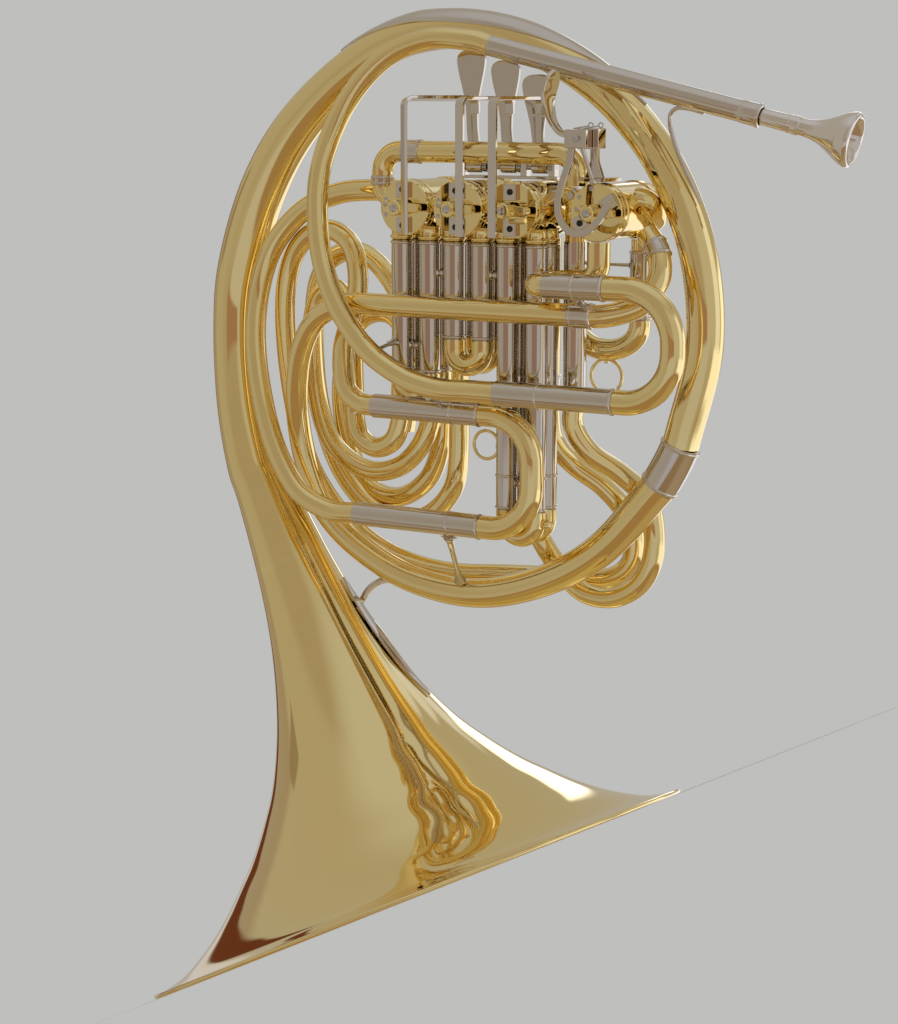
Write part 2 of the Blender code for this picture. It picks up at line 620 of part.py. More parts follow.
def make_rear_slide():
    """The wide B flat slide behind, between the third and the thumb valves, with its pull ring."""
    left, right = REAR_SLIDE_X
    y = REAR_SLIDE_Y
    bottom, top = 2.0, 38.0
    obj = add_object("rear_slide_sleeves", rod((left, y, bottom), (left, y, top), SMALL_SLEEVE, 8,
                                               SMALL_BORE), nickel)
    join(obj, rod((right, y, bottom), (right, y, top), SMALL_SLEEVE, 8, SMALL_BORE))
    wall = SMALL_WALL
    join(obj, rod((left + wall, y, top - 8), (right - wall, y, top - 8), 1.5, 6))
    join(obj, tube(fillet([(left, y, top - 3), (left, y, 42.0), (80.0, y, 55.5), (87.6, y, 57.0)],
                          [8.0, 8.0]), 5.5, 8))
    join(obj, rod((right, y, top - 3), (right, y, 43.5), 5.5, 8))
    for x in (left, right):
        cut(obj, rod((x, y, bottom - 5), (x, y, top - 4), SMALL_BORE, 8))
    end = bottom - GAP
    radius, middle = (right - left) / 2, (left + right) / 2
    path = [Vector((left, y, end + 32)), Vector((left, y, end)), Vector((left, y, end - 0.8))]
    path += [Vector((middle - radius * math.cos(math.pi * k / 12), y,
                     end - 2.0 - radius * math.sin(math.pi * k / 12))) for k in range(13)]
    path += [Vector((right, y, end - 0.8)), Vector((right, y, end)), Vector((right, y, end + 32))]
    radii = [SMALL_LEG if p.z > end - 0.1 else SMALL_SLEEVE - 0.1 for p in path]
    bow = add_object("rear_slide_bow", tube(path, radii, 8), brass, (middle, y, end))
    ring_centre = Vector((middle, y, end - 2.0 - radius - SMALL_SLEEVE - 8.2))
    return join(bow, ring(ring_centre, 9.0, 0.9))


def ring(centre, radius, wire, sides=14):
    bm = bmesh.new()
    loops = []
    for k in range(sides):
        turn = 2 * math.pi * (k + 0.5) / sides
        out = Vector((math.cos(turn), 0, math.sin(turn)))
        loops.append([bm.verts.new(centre + out * (radius + wire * math.cos(a)) +
                                   Vector((0, wire * math.sin(a), 0)))
                      for a in (2 * math.pi * n / 5 for n in range(5))])
    skin(bm, loops, closed=True)
    return bm


# ---------------------------------------------------------------- valves

def make_casing(index):
    """A barrel with its front wall, the ports down to the slides and the link to the next valve."""
    x = VALVE_X[index]
    centre = (x, 0.0, VALVE_Z)
    solid = lathe([(CASING_FRONT, 0), (CASING_FRONT, CASING_RADIUS), (CASING_BACK - 4, CASING_RADIUS),
                   (CASING_BACK - 4, CASING_RADIUS + 0.6), (CASING_BACK, CASING_RADIUS + 0.6),
                   (CASING_BACK, 0)], centre, (0, 1, 0), 20)
    obj = add_object(f"valve_casing_{index + 1}", solid, brass)
    if index < 3:
        for dx in (-PORT_SPREAD, PORT_SPREAD):
            for row in (FRONT_ROW, BACK_ROW):
                join(obj, rod((x + dx, row, PORT_END), (x + dx, row, VALVE_Z - 4), SMALL_TUBE, 8))
    if index < 2:
        reach = x + VALVE_PITCH - CASING_RADIUS - GAP
        for row in (FRONT_ROW, BACK_ROW):
            join(obj, rod((x + 5, row, VALVE_Z + 1), (reach, row, VALVE_Z + 1), SMALL_TUBE, 8))
    if index == 3:
        join(obj, thumb_valve_loop())
    bore = lathe([(CASING_FRONT + 2, 0), (CASING_FRONT + 2, CASING_BORE), (CASING_BACK + 5, CASING_BORE),
                  (CASING_BACK + 5, 0)], centre, (0, 1, 0), 20)
    cut(obj, bore)
    return cut(obj, rod((x, CASING_FRONT - 5, VALVE_Z), (x, CASING_FRONT + 5, VALVE_Z),
                        STEM_RADIUS + 0.5, 12))


def thumb_valve_loop():
    """The short crook on the right of the thumb valve, out behind the body tube and back."""
    x = VALVE_X[3]
    path = fillet([(x + 5, BACK_ROW, VALVE_Z + 6.5), (x + 16.7, BACK_ROW, VALVE_Z + 6.5),
                   (x + 16.7, THIRD_ROW, VALVE_Z - 5.5), (x + 5, THIRD_ROW, VALVE_Z - 5.5)], 8.9)
    return tube(path, SMALL_TUBE, 8)


def make_rotor(index):
    """The turning plug with its two passages, its bearings and the stem out of the front."""
    x = VALVE_X[index]
    centre = (x, 0.0, VALVE_Z)
    outline = [(CASING_FRONT - 6, 0), (CASING_FRONT - 6, STEM_RADIUS), (CASING_FRONT + 2.6, STEM_RADIUS),
               (CASING_FRONT + 2.6, ROTOR_RADIUS), (CASING_BACK - 5, ROTOR_RADIUS),
               (CASING_BACK - 5, 3.5), (CASING_BACK - 1, 3.5), (CASING_BACK - 1, 0)]
    obj = add_object(f"rotor_{index + 1}", lathe(outline, centre, (0, 1, 0), 16), brass, centre)
    for row in (FRONT_ROW, BACK_ROW):
        for side in (-1, 1):
            cut(obj, tube([Vector((x + side * 15, row, VALVE_Z - 12)), Vector((x + side * 8.6, row, VALVE_Z)),
                           Vector((x + side * 15, row, VALVE_Z + 12))], 4.4, 6))
    return obj


def make_stop_plate(index):
    """The front disc with the cork plate standing on it."""
    x = VALVE_X[index]
    front, back = CASING_FRONT - 3.9, CASING_FRONT - GAP
    disc = [(front, STEM_RADIUS + 0.5), (front, PLATE_RADIUS - 0.6), (front + 0.6, PLATE_RADIUS),
            (back, PLATE_RADIUS), (back, STEM_RADIUS + 0.5)]
    obj = add_object(f"stop_plate_{index + 1}", lathe(disc, (x, 0, VALVE_Z), (0, 1, 0), 20), brass)
    angle = math.radians(58 if index == 3 else 0)
    turn = Matrix.Rotation(angle, 3, "Y")
    for side in (-1, 1):
        bm = block((-3.4, front - 2.8, 5.2), (3.4, front + 1.0, 13.0))
        for vert in bm.verts:
            vert.co.z *= side
            vert.co = turn @ vert.co + Vector((x, 0, VALVE_Z))
        join(obj, bm)
    return obj


def make_stop_arm(index):
    """The hub on the end of the stem, its arm and the string screw's pin."""
    x = VALVE_X[index]
    front = CASING_FRONT - 16.0
    stem_end = CASING_FRONT - 6 - GAP
    back = CASING_FRONT - 7.2
    hub = [(front, 0), (front, 3.4), (front + 0.8, 4.2), (stem_end, 4.2), (stem_end, 0)]
    pivot = (x, 0.0, VALVE_Z)
    obj = add_object(f"stop_arm_{index + 1}", lathe(hub, pivot, (0, 1, 0), 16), brass, pivot)
    join(obj, block((x + 2.0, back - 4.2, VALVE_Z - 2.6), (x + 13.0, back, VALVE_Z + 2.6)))
    return join(obj, block((x - 6.8, front + 1.5, VALVE_Z + 0.4), (x - 2.5, back - 1.0, VALVE_Z + 3.6)))


def make_back_cap(index):
    """The screwed cap behind each valve."""
    x = VALVE_X[index]
    near, far = CASING_BACK + GAP, CASING_BACK + 5.0
    outline = [(near, 0), (near, 14.6), (far - 1.2, 14.6), (far, 13.4), (far, 9.5), (far - 1, 9.0), (far - 1, 0)]
    return add_object(f"valve_cap_{index + 1}", lathe(outline, (x, 0, VALVE_Z), (0, 1, 0), 16), brass)


# ---------------------------------------------------------------- levers

def make_finger_lever(index):
    """A hinge tube, a stem with its finger leaf, and the arm over the top down to the valve."""
    back_x, front_x = LEVER_BACK_X[index], LEVER_FRONT_X[index]
    pivot = (back_x, HINGE_Y, HINGE_Z)
    bm = rod((back_x - 4.5, HINGE_Y, HINGE_Z), (back_x + 4.5, HINGE_Y, HINGE_Z), 3.3, 12, 1.9)
    obj = add_object(f"finger_lever_{index + 1}", bm, nickel, pivot)
    top = LEAF_TOP[index]
    side = [(3.3, HINGE_Z + 2.5), (3.3, top - 26), (4.4, top - 19), (7.0, top - 11), (7.8, top - 6),
            (6.0, top - 1.4)]
    leaf = side + [(0.0, top)] + [(-a, b) for a, b in side[::-1]]
    join(obj, slab([(back_x + a, b) for a, b in leaf], HINGE_Y - 1.0, HINGE_Y + 1.0, "Y"))
    path = fillet([(back_x, HINGE_Y + 0.6, LEVER_TOP), (front_x, LEVER_FRONT_Y, LEVER_TOP),
                   (front_x, LEVER_FRONT_Y, 45.5)], [4.0])
    return join(obj, strip(path, 4.0, 1.8, (1, 0, 0)))


def make_hinge_rod():
    """The rod through the three finger levers, on four posts above the valves."""
    ends = (LEVER_BACK_X[0] - 9.0, LEVER_BACK_X[2] + 9.0)
    obj = add_object("lever_hinge_rod", rod((ends[0], HINGE_Y, HINGE_Z), (ends[1], HINGE_Y, HINGE_Z),
                                            1.5, 8), nickel)
    posts = (ends[0] + 1.8, (LEVER_BACK_X[0] + LEVER_BACK_X[1]) / 2,
             (LEVER_BACK_X[1] + LEVER_BACK_X[2]) / 2, ends[1] - 1.8)
    for x in posts:
        join(obj, block((x - 1.8, HINGE_Y - 2.4, 74.4), (x + 1.8, HINGE_Y + 2.4, HINGE_Z + 3.0)))
    return join(obj, block((ends[0] - 2, HINGE_Y - 3.5, 73.4), (ends[1] + 2, HINGE_Y + 3.5, 75.0)))


def make_thumb_lever():
    """The thumb spatula, its pivot block and the strap that runs round the thumb valve."""
    px, pz = THUMB_PIVOT
    y = -42.5
    pivot = (px, y, pz)
    obj = add_object("thumb_lever", block((px - 7, y - 3.5, pz - 4.5), (px + 5, y + 3.5, pz + 4.5)),
                     nickel, pivot)
    paddle = smooth([(px - 4.5, y, pz + 1.0), (px - 11.0, y, pz + 3.0), (px - 15.5, y - 1, pz + 10.0),
                     (px - 17.0, y - 2, pz + 20.0), (px - 15.5, y - 1, pz + 28.0),
                     (px - 13.5, y, pz + 33.0)], 2)
    join(obj, strip(paddle, [5, 5, 5.5, 6, 8, 11, 13, 14, 13, 10, 5], 2.0, (0.25, 1, 0)))
    strap = smooth([(px - 4.0, y, pz - 2.0), (px - 7.0, y - 3, pz - 12.0), (px - 12.0, y - 6, pz - 27.0),
                    (px - 10.5, y - 6, pz - 41.0), (px - 1.0, y - 6, pz - 51.0),
                    (px + 12.0, y - 6, pz - 48.0), (px + 19.0, y - 6, pz - 38.0)], 2)
    join(obj, strip(strap, 4.0, 1.8, (0, 1, 0)))
    return cut(obj, rod((px, y - 8, pz), (px, y + 8, pz), 2.0, 12))


def make_thumb_saddle():
    """The block behind the thumb lever, its post and the pivot pin."""
    px, pz = THUMB_PIVOT
    obj = add_object("thumb_lever_saddle", block((px - 4, -38.4, pz - 5), (px + 8, -30.0, pz + 5)), nickel)
    join(obj, block((px - 1, -33.5, 74.2), (px + 7, -30.0, pz - 4)))
    join(obj, block((px - 3, -33.5, 73.6), (px + 9, -14.0, 75.6)))
    return join(obj, rod((px, -48.0, pz), (px, -35.0, pz), 1.6, 10))


# ---------------------------------------------------------------- hand hook and brace

LEAF_LIFT = 2.4  # the leaf's middle above the bell


def make_finger_hook():
    """The little finger's hook, on a long leaf that lies on the bell."""
    turn = math.radians(22)
    count = 8
    path = [bell_point(100 + 80 * k / count, turn, bell_radius(100 + 80 * k / count) + LEAF_LIFT)
            for k in range(count + 1)]
    widths = [1.5 + 8.0 * math.sin(math.pi * k / count) for k in range(count + 1)]
    across = lean().transposed() @ Vector((-math.sin(turn), math.cos(turn), 0))
    obj = add_object("finger_hook", strip(path, widths, 1.6, across), nickel)
    foot = bell_point(122, turn, bell_radius(122) + LEAF_LIFT)
    lift = bell_point(138, turn - 0.10, bell_radius(138) + 7.5)
    hook = smooth([foot, lift, (-52.3, 1.0, -167.5), (-55.5, 0.0, -161.0), (-51.0, 0.0, -156.5),
                   (-38.0, 0.0, -156.5), (-24.0, 0.0, -161.0), (-14.0, 0.0, -164.5)], 2)
    return join(obj, tube(hook, 1.9, 8))


def make_body_brace():
    """The short strut between the F slide and the bottom of the body, with a foot at each end."""
    top, bottom = Vector((18.0, -31.0, -114.2)), Vector((10.0, -6.0, -143.2))
    along = (bottom - top).normalized()
    length = (bottom - top).length
    outline = [(0, 0), (0, 3.6), (1.4, 3.6), (2.6, 1.5), (length - 2.6, 1.5), (length - 1.4, 3.8),
               (length, 3.8), (length, 0)]
    return add_object("body_brace", lathe(outline, top, along, 10), nickel)


# ---------------------------------------------------------------- assembly

clear_scene()
brass = metal("lacquered_brass", BRASS, 0.12)
nickel = metal("nickel_silver", NICKEL, 0.18)
silver = metal("polished_silver", SILVER, 0.08)
horn = bpy.data.collections.new("french_horn")
cutters = bpy.data.collections.new("cutters")
bpy.context.scene.collection.children.link(horn)
bpy.context.scene.collection.children.link(cutters)
cutters.hide_render = True
root = bpy.data.objects.new("horn_frame", None)
horn.objects.link(root)
root.rotation_mode = "YXZ"
root.rotation_euler = (BELL_LEAN, BELL_TILT, 0.0)
root.location = -Vector(FLOOR_CENTRE) * MM
bpy.context.view_layer.update()

make_bell_flare()
make_bell_tail()
make_ferrule()
make_body_branch()
make_guard_plate()
make_lead_pipe()
make_receiver()
make_mouthpiece()
make_lead_brace()
make_crossover()
make_change_inlet()
make_first_branch()
make_f_extension()
make_s_branch()
make_left_coil()
make_large_slides()
for number in range(3):
    make_valve_sleeves(number)
    make_valve_bow(number, FRONT_ROW, "f_valve")
    make_valve_bow(number, BACK_ROW, "bflat_valve")
    make_finger_lever(number)
make_rear_slide()
for number in range(4):
    make_casing(number)
    make_rotor(number)
    make_stop_plate(number)
    make_stop_arm(number)
    make_back_cap(number)
make_hinge_rod()
make_thumb_lever()
make_thumb_saddle()
make_finger_hook()
make_body_brace()
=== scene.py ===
"""French horn: the looks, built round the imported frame.

Everything is laid out in the horn's own frame, in millimetres: X runs right in the plane of the
round body, Y runs back and Z up, from the body's centre. HORN takes it to the scene, in metres,
where the horn stands on its bell rim.
"""

import math

import bmesh
import bpy
from mathutils import Matrix, Vector


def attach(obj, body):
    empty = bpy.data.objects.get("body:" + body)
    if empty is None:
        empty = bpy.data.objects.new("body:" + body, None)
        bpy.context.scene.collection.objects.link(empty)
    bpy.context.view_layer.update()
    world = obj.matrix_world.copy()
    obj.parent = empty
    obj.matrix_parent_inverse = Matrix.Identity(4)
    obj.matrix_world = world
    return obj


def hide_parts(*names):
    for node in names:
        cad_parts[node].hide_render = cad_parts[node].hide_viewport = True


MM = 0.001
GAP = 0.4  # between pieces that move apart

BELL_TILT = math.radians(28.2)
BELL_LEAN = math.radians(4.5)
FLOOR_CENTRE = Vector((-27.9, -1.7, -280.5))
TURN = Matrix.Rotation(BELL_LEAN, 3, "X") @ Matrix.Rotation(BELL_TILT, 3, "Y")
HORN = (Matrix.Translation(-FLOOR_CENTRE * MM) @ TURN.to_4x4()) @ Matrix.Scale(MM, 4)

BELL_RADIUS = 155
BELL_WALL = 0.8
RIM_CENTRE = Vector((-4.8, -23.7, -319.7))
FLARE_LENGTH = 250
THROAT = (200, 215, 230, 245, 262)
BELL_PROFILE = (
    (2.2, 149), (6.5, 134.5), (16.7, 117.2), (28, 103), (40, 90.6), (52, 79), (68, 66.5),
    (88, 53.6), (118, 40.4), (154, 29.6), (190, 22.8), (225, 18.6), (FLARE_LENGTH, 16.4),
)
BODY_RADIUS = 150
FERRULE_FROM, FERRULE_TO = -23.5, -33

MAIN_TUBE = 5.9
MAIN_SLEEVE = 6.4
MAIN_BORE = 5.8
MAIN_LEG = 5.4
SMALL_TUBE = 5.6
SMALL_SLEEVE = 5.7
SMALL_BORE = 5.1
SMALL_LEG = 4.7

VALVE_X = (-9, 23.2, 55.4, 103.5)
VALVE_Z = 58.5
CASING_FRONT, CASING_BACK = -27.5, 13
CASING_RADIUS = 14.2
PLATE_RADIUS = 14.7
STEM_RADIUS = 2.6
PORT_SPREAD = 8.5
FRONT_ROW, BACK_ROW, THIRD_ROW = -20, -8, 6
PORT_END = 41.3
PORT_LENGTH = 7.4
CASING_BORE = 12.4
CAP_RADIUS = 14.6
CAP_STEP = math.radians(3)
FERRULE_RISE = 0.55
RIM_WIRE = 1.25
HINGE_BASE, HINGE_BASE_TOP = 73.4, 75
MAIN_SLIDE_Y = -46
MAIN_SLIDE_Z = (-33.5, 22.5)
F_SLIDE_Y = -33
F_SLIDE_Z = (-106.5, -47)
VALVE_SLIDE_ENDS = (-29, -10, -98)
VALVE_LEG_LENGTHS = (42, 30, 60)
HINGE_Y, HINGE_Z = -6, 79.5
LEVER_FRONT_X = (4, 37, 56)
LEVER_BACK_X = (19.5, 40, 58.5)
LEVER_FRONT_Y = -52
LEVER_TOP = 114.5
LEAF_TOP = (139.2, 133.8, 126.4)
THUMB_PIVOT = (100, 95)
THUMB_Y = -42.5
REAR_SLIDE_X, REAR_SLIDE_Y = (71, 109), 9
MOUTHPIPE_START = Vector((37, -22, 141))
RECEIVER_END = Vector((181, -8, 106))
MOUTH = (RECEIVER_END - MOUTHPIPE_START).normalized()
BODY = "horn_body"
LENS, SENSOR = 80.86, 36
CAMERA_PLACE = (0.6421, -1.03628, 0.00117)
CAMERA_AXES = ((0.7554, 0.5452, -0.3634), (0.3838, 0.0813, 0.9198), (0.5311, -0.8343, -0.1478))
FLOOR_RADIUS, FADE_FROM, FADE_TO = 0.76, 0.19, 0.42
FLOOR_TONE = (0.70, 0.70, 0.69, 1)
ROUND = 28  # sides of an ordinary tube

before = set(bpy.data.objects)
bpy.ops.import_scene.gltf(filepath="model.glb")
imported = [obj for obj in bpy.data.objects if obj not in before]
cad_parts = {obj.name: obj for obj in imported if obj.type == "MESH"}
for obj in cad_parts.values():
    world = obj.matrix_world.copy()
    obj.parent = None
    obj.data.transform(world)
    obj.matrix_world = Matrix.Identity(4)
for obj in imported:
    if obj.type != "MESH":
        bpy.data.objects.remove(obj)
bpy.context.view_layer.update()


# ---------------------------------------------------------------- paths

def smooth(points, per_span=8):
    """A Catmull-Rom curve through the points."""
    p = [Vector(q) for q in points]
    p = [2 * p[0] - p[1]] + p + [2 * p[-1] - p[-2]]
    path = []
    for a, b, c, d in zip(p, p[1:], p[2:], p[3:]):
        for k in range(per_span):
            t = k / per_span
            path.append(0.5 * (2 * b + (c - a) * t + (2 * a - 5 * b + 4 * c - d) * t * t
                               + (3 * b - a - 3 * c + d) * t ** 3))
    return path + [p[-2]]


def fillet(corners, bend, step=6):
    """A path of straight runs with each inner corner rounded to its bend radius."""
    corners = [Vector(c) for c in corners]
    bends = list(bend) if isinstance(bend, (list, tuple)) else [bend] * (len(corners) - 2)
    path = [corners[0]]
    for before, corner, after, radius in zip(corners, corners[1:], corners[2:], bends):
        back, ahead = (before - corner).normalized(), (after - corner).normalized()
        opening = back.angle(ahead)
        if math.pi - opening < 0.01:
            path.append(corner)
            continue
        reach = radius / math.tan(opening / 2)
        start, end = corner + back * reach, corner + ahead * reach
        centre = corner + (back + ahead).normalized() * (radius / math.sin(opening / 2))
        first, last = start - centre, end - centre
        turn = math.pi - opening
        count = max(2, round(math.degrees(turn) / step))
        for k in range(count + 1):
            t = k / count
            path.append(centre + (math.sin((1 - t) * turn) * first + math.sin(t * turn) * last)
                        / math.sin(turn) if math.sin(turn) > 0.02 else start.lerp(end, t))
    path.append(corners[-1])
    return path


def lengths(path):
    total, out = 0, [0]
    for a, b in zip(path, path[1:]):
        total += (b - a).length
        out.append(total)
    return out


def at(path, runs, distance):
    """The point of the path at a distance along it."""
    distance = min(max(distance, 0), runs[-1])
    for k in range(1, len(runs)):
        if runs[k] >= distance:
            span = runs[k] - runs[k - 1]
            return path[k - 1].lerp(path[k], (distance - runs[k - 1]) / span if span else 0)
    return path[-1].copy()


def nearest(path, point):
    """The distance along the path of its point nearest to this one."""
    runs, point = lengths(path), Vector(point)
    best = min(range(len(path)), key=lambda k: (path[k] - point).length)
    steps = [runs[max(0, best - 1)] + (runs[min(len(runs) - 1, best + 1)] - runs[max(0, best - 1)])
             * n / 20
             for n in range(21)]
    return min(steps, key=lambda s: (at(path, runs, s) - point).length)


def frames_along(path, first=None):
    tangents = []
    for k, point in enumerate(path):
        ahead = (path[k + 1] - point) if k + 1 < len(path) else None
        behind = (point - path[k - 1]) if k else None
        both = [v.normalized() for v in (ahead, behind) if v is not None and v.length > 1e-9]
        tangents.append(sum(both, Vector()).normalized() if both else Vector(tangents[-1]))
    normal, frames = Vector(first or (0, 1, 0)), []
    for tangent in tangents:
        if abs(normal.normalized().dot(tangent)) > 0.98:
            normal = Vector((1, 0, 0)) if abs(tangent.x) < 0.9 else Vector((0, 0, 1))
        normal = (normal - tangent * normal.dot(tangent)).normalized()
        frames.append((tangent, normal, tangent.cross(normal)))
    return frames


# ---------------------------------------------------------------- mesh makers

def skin(bm, rings, closed=False):
    count = len(rings[0])
    pairs = list(zip(rings, rings[1:])) + ([(rings[-1], rings[0])] if closed else [])
    for low, high in pairs:
        for k in range(count):
            n = (k + 1) % count
            bm.faces.new((low[k], low[n], high[n], high[k]))
    if not closed:
        bm.faces.new(rings[0][::-1])
        bm.faces.new(rings[-1])


def ring_of(bm, centre, size, normal, side, sides):
    turns = [2 * math.pi * n / sides for n in range(sides)]
    return [bm.verts.new(centre + size * (math.cos(t) * normal + math.sin(t) * side))
            for t in turns]


def tube(path, radius, sides=ROUND, bore=None, bm=None):
    """A round tube along the path. Radius and bore are one value or one for each point."""
    bm = bm or bmesh.new()
    path = [Vector(p) for p in path]
    radii = radius if isinstance(radius, (list, tuple)) else [radius] * len(path)
    frames = frames_along(path)
    outer = [ring_of(bm, path[k], radii[k], f[1], f[2], sides) for k, f in enumerate(frames)]
    if bore is None:
        skin(bm, outer)
        return bm
    bores = bore if isinstance(bore, (list, tuple)) else [bore] * len(path)
    inner = [ring_of(bm, path[k], bores[k], f[1], f[2], sides) for k, f in enumerate(frames)]
    skin(bm, outer + inner[::-1], closed=True)
    return bm


def rod(start, end, radius, sides=20, bore=None, bm=None):
    return tube([Vector(start), Vector(end)], radius, sides, bore, bm)


def lathe(profile, centre, direction, sides=48, bm=None):
    """Turns (along, radius) pairs about a line. Radius 0 closes an end."""
    bm = bm or bmesh.new()
    centre, direction = Vector(centre), Vector(direction).normalized()
    first = Vector((0, 1, 0)) if abs(direction.y) < 0.9 else Vector((1, 0, 0))
    normal = (first - direction * first.dot(direction)).normalized()
    side = direction.cross(normal)
    rings = []
    for along, radius in profile:
        spot = centre + along * direction
        rings.append([bm.verts.new(spot)] if radius < 1e-6
                     else ring_of(bm, spot, radius, normal, side, sides))
    pairs = list(zip(rings, rings[1:]))
    if len(rings[0]) > 1 and len(rings[-1]) > 1:
        pairs.append((rings[-1], rings[0]))
    for low, high in pairs:
        if len(low) == len(high) == 1:
            continue
        for k in range(sides):
            n = (k + 1) % sides
            if len(low) == 1:
                bm.faces.new((low[0], high[n], high[k]))
            elif len(high) == 1:
                bm.faces.new((low[k], low[n], high[0]))
            else:
                bm.faces.new((low[k], low[n], high[n], high[k]))
    return bm


def swept(path, profile, sides=ROUND):
    """A turned outline carried along a curved path: (distance along it, radius) pairs, closed."""
    bm = bmesh.new()
    runs = lengths(path)
    order = sorted({round(s, 4) for s, _ in profile})
    spots = [at(path, runs, s) for s in order]
    fine = {}
    for s, spot in zip(order, spots):
        tangent = (at(path, runs, s + 0.6) - at(path, runs, s - 0.6)).normalized()
        fine[s] = (spot, tangent)
    normal, frames = Vector((0, 1, 0)), {}
    for s in order:
        tangent = fine[s][1]
        if abs(normal.dot(tangent)) > 0.98:
            normal = Vector((1, 0, 0))
        normal = (normal - tangent * normal.dot(tangent)).normalized()
        frames[s] = (normal, tangent.cross(normal))
    rings = [ring_of(bm, fine[round(s, 4)][0], r, *frames[round(s, 4)], sides) for s, r in profile]
    skin(bm, rings, closed=True)
    return bm


def strip(path, width, thickness, across, crown=0):
    """A flat bar along the path, its width along one direction and its faces slightly crowned."""
    bm = bmesh.new()
    rings = []
    for k, (_, normal, side) in enumerate(frames_along(path, Vector(across))):
        w = width[k] if isinstance(width, (list, tuple)) else width
        t = thickness[k] if isinstance(thickness, (list, tuple)) else thickness
        outline = [(-1, -1), (-0.5, -1), (0, -1), (0.5, -1), (1, -1), (1, 1), (0.5, 1), (0, 1),
                   (-0.5, 1), (-1, 1)]
        rings.append([bm.verts.new(path[k] + normal * w / 2 * u
                                   + side * (t / 2 * v + crown * w * (u * u - 0.4) * 0.5))
                      for u, v in outline])
    skin(bm, rings)
    return bm


def block(low, high, bm=None):
    bm = bm or bmesh.new()
    made = bmesh.ops.create_cube(bm, size=1)["verts"]
    low, high = Vector(low), Vector(high)
    for vert in made:
        vert.co = Vector([(l + h) / 2 + c * (h - l) for l, h, c in zip(low, high, vert.co)])
    return bm


def slab(outline, low, high, bm=None):
    """A flat plate: an outline in X and Z, from low to high in Y."""
    bm = bm or bmesh.new()
    skin(bm, [[bm.verts.new((a, c, b)) for a, b in outline] for c in (low, high)])
    return bm


def loop_ring(centre, radius, wire, axis_a, axis_b, bm=None, sides=48):
    """A plain wire ring about a centre, in the plane of two directions."""
    bm = bm or bmesh.new()
    a, b = Vector(axis_a).normalized(), Vector(axis_b).normalized()
    out_of = a.cross(b)
    loops = []
    for k in range(sides):
        t = 2 * math.pi * k / sides
        out = math.cos(t) * a + math.sin(t) * b
        loops.append(ring_of(bm, Vector(centre) + out * radius, wire, out, out_of, 12))
    skin(bm, loops, closed=True)
    return bm


def ball(centre, radius, bm=None):
    steps = 12
    profile = [(-radius * math.cos(math.pi * k / steps), radius * math.sin(math.pi * k / steps))
               for k in range(steps + 1)]
    profile[0], profile[-1] = (-radius, 0), (radius, 0)
    return lathe(profile, centre, (0, 0, 1), 24, bm)


def bead(s, radius, high=0.55, half=0.75):
    """The outline of one raised bead at distance s on a tube."""
    out = []
    for k in range(7):
        t = math.pi * k / 6
        out.append((s - half * math.cos(t), radius + high * math.sin(t)))
    return out


def beaded(length, radius, beads, bore, ends=0.35):
    """A sleeve's outline: rounded ends, beads at the given places, and its bore."""
    out = [(0, radius - ends), (ends, radius)]
    for s in beads:
        out += bead(s, radius)
    return out + [(length - ends, radius), (length, radius - ends), (length, bore), (0, bore)]


# ---------------------------------------------------------------- materials

def node(tree, kind, **inputs):
    made = tree.nodes.new(kind)
    for name, value in inputs.items():
        made.inputs[name.replace("_", " ")].default_value = value
    return made


def math_node(tree, operation, a, b=None, c=None):
    made = tree.nodes.new("ShaderNodeMath")
    made.operation = operation
    for slot, value in enumerate((a, b, c)):
        if isinstance(value, (int, float)):
            made.inputs[slot].default_value = value
        elif value is not None:
            tree.links.new(value, made.inputs[slot])
    return made.outputs["Value"]


def colour_mix(tree, share, a, b):
    """Mixes from a to b by a share. Each colour is three numbers or a socket."""
    made = tree.nodes.new("ShaderNodeMix")
    made.data_type = "RGBA"
    for slot, value in (("A", a), ("B", b)):
        if isinstance(value, (tuple, list)):
            made.inputs[slot].default_value = (*value, 1)
        else:
            tree.links.new(value, made.inputs[slot])
    tree.links.new(share, made.inputs["Factor"])
    return made.outputs["Result"]


def new_finish(name):
    mat = bpy.data.materials.new(name + "_finish")
    mat.use_nodes = True
    tree = mat.node_tree
    place = tree.nodes.new("ShaderNodeTexCoord").outputs["Object"]
    return mat, tree, tree.nodes["Principled BSDF"], tree.links.new, place


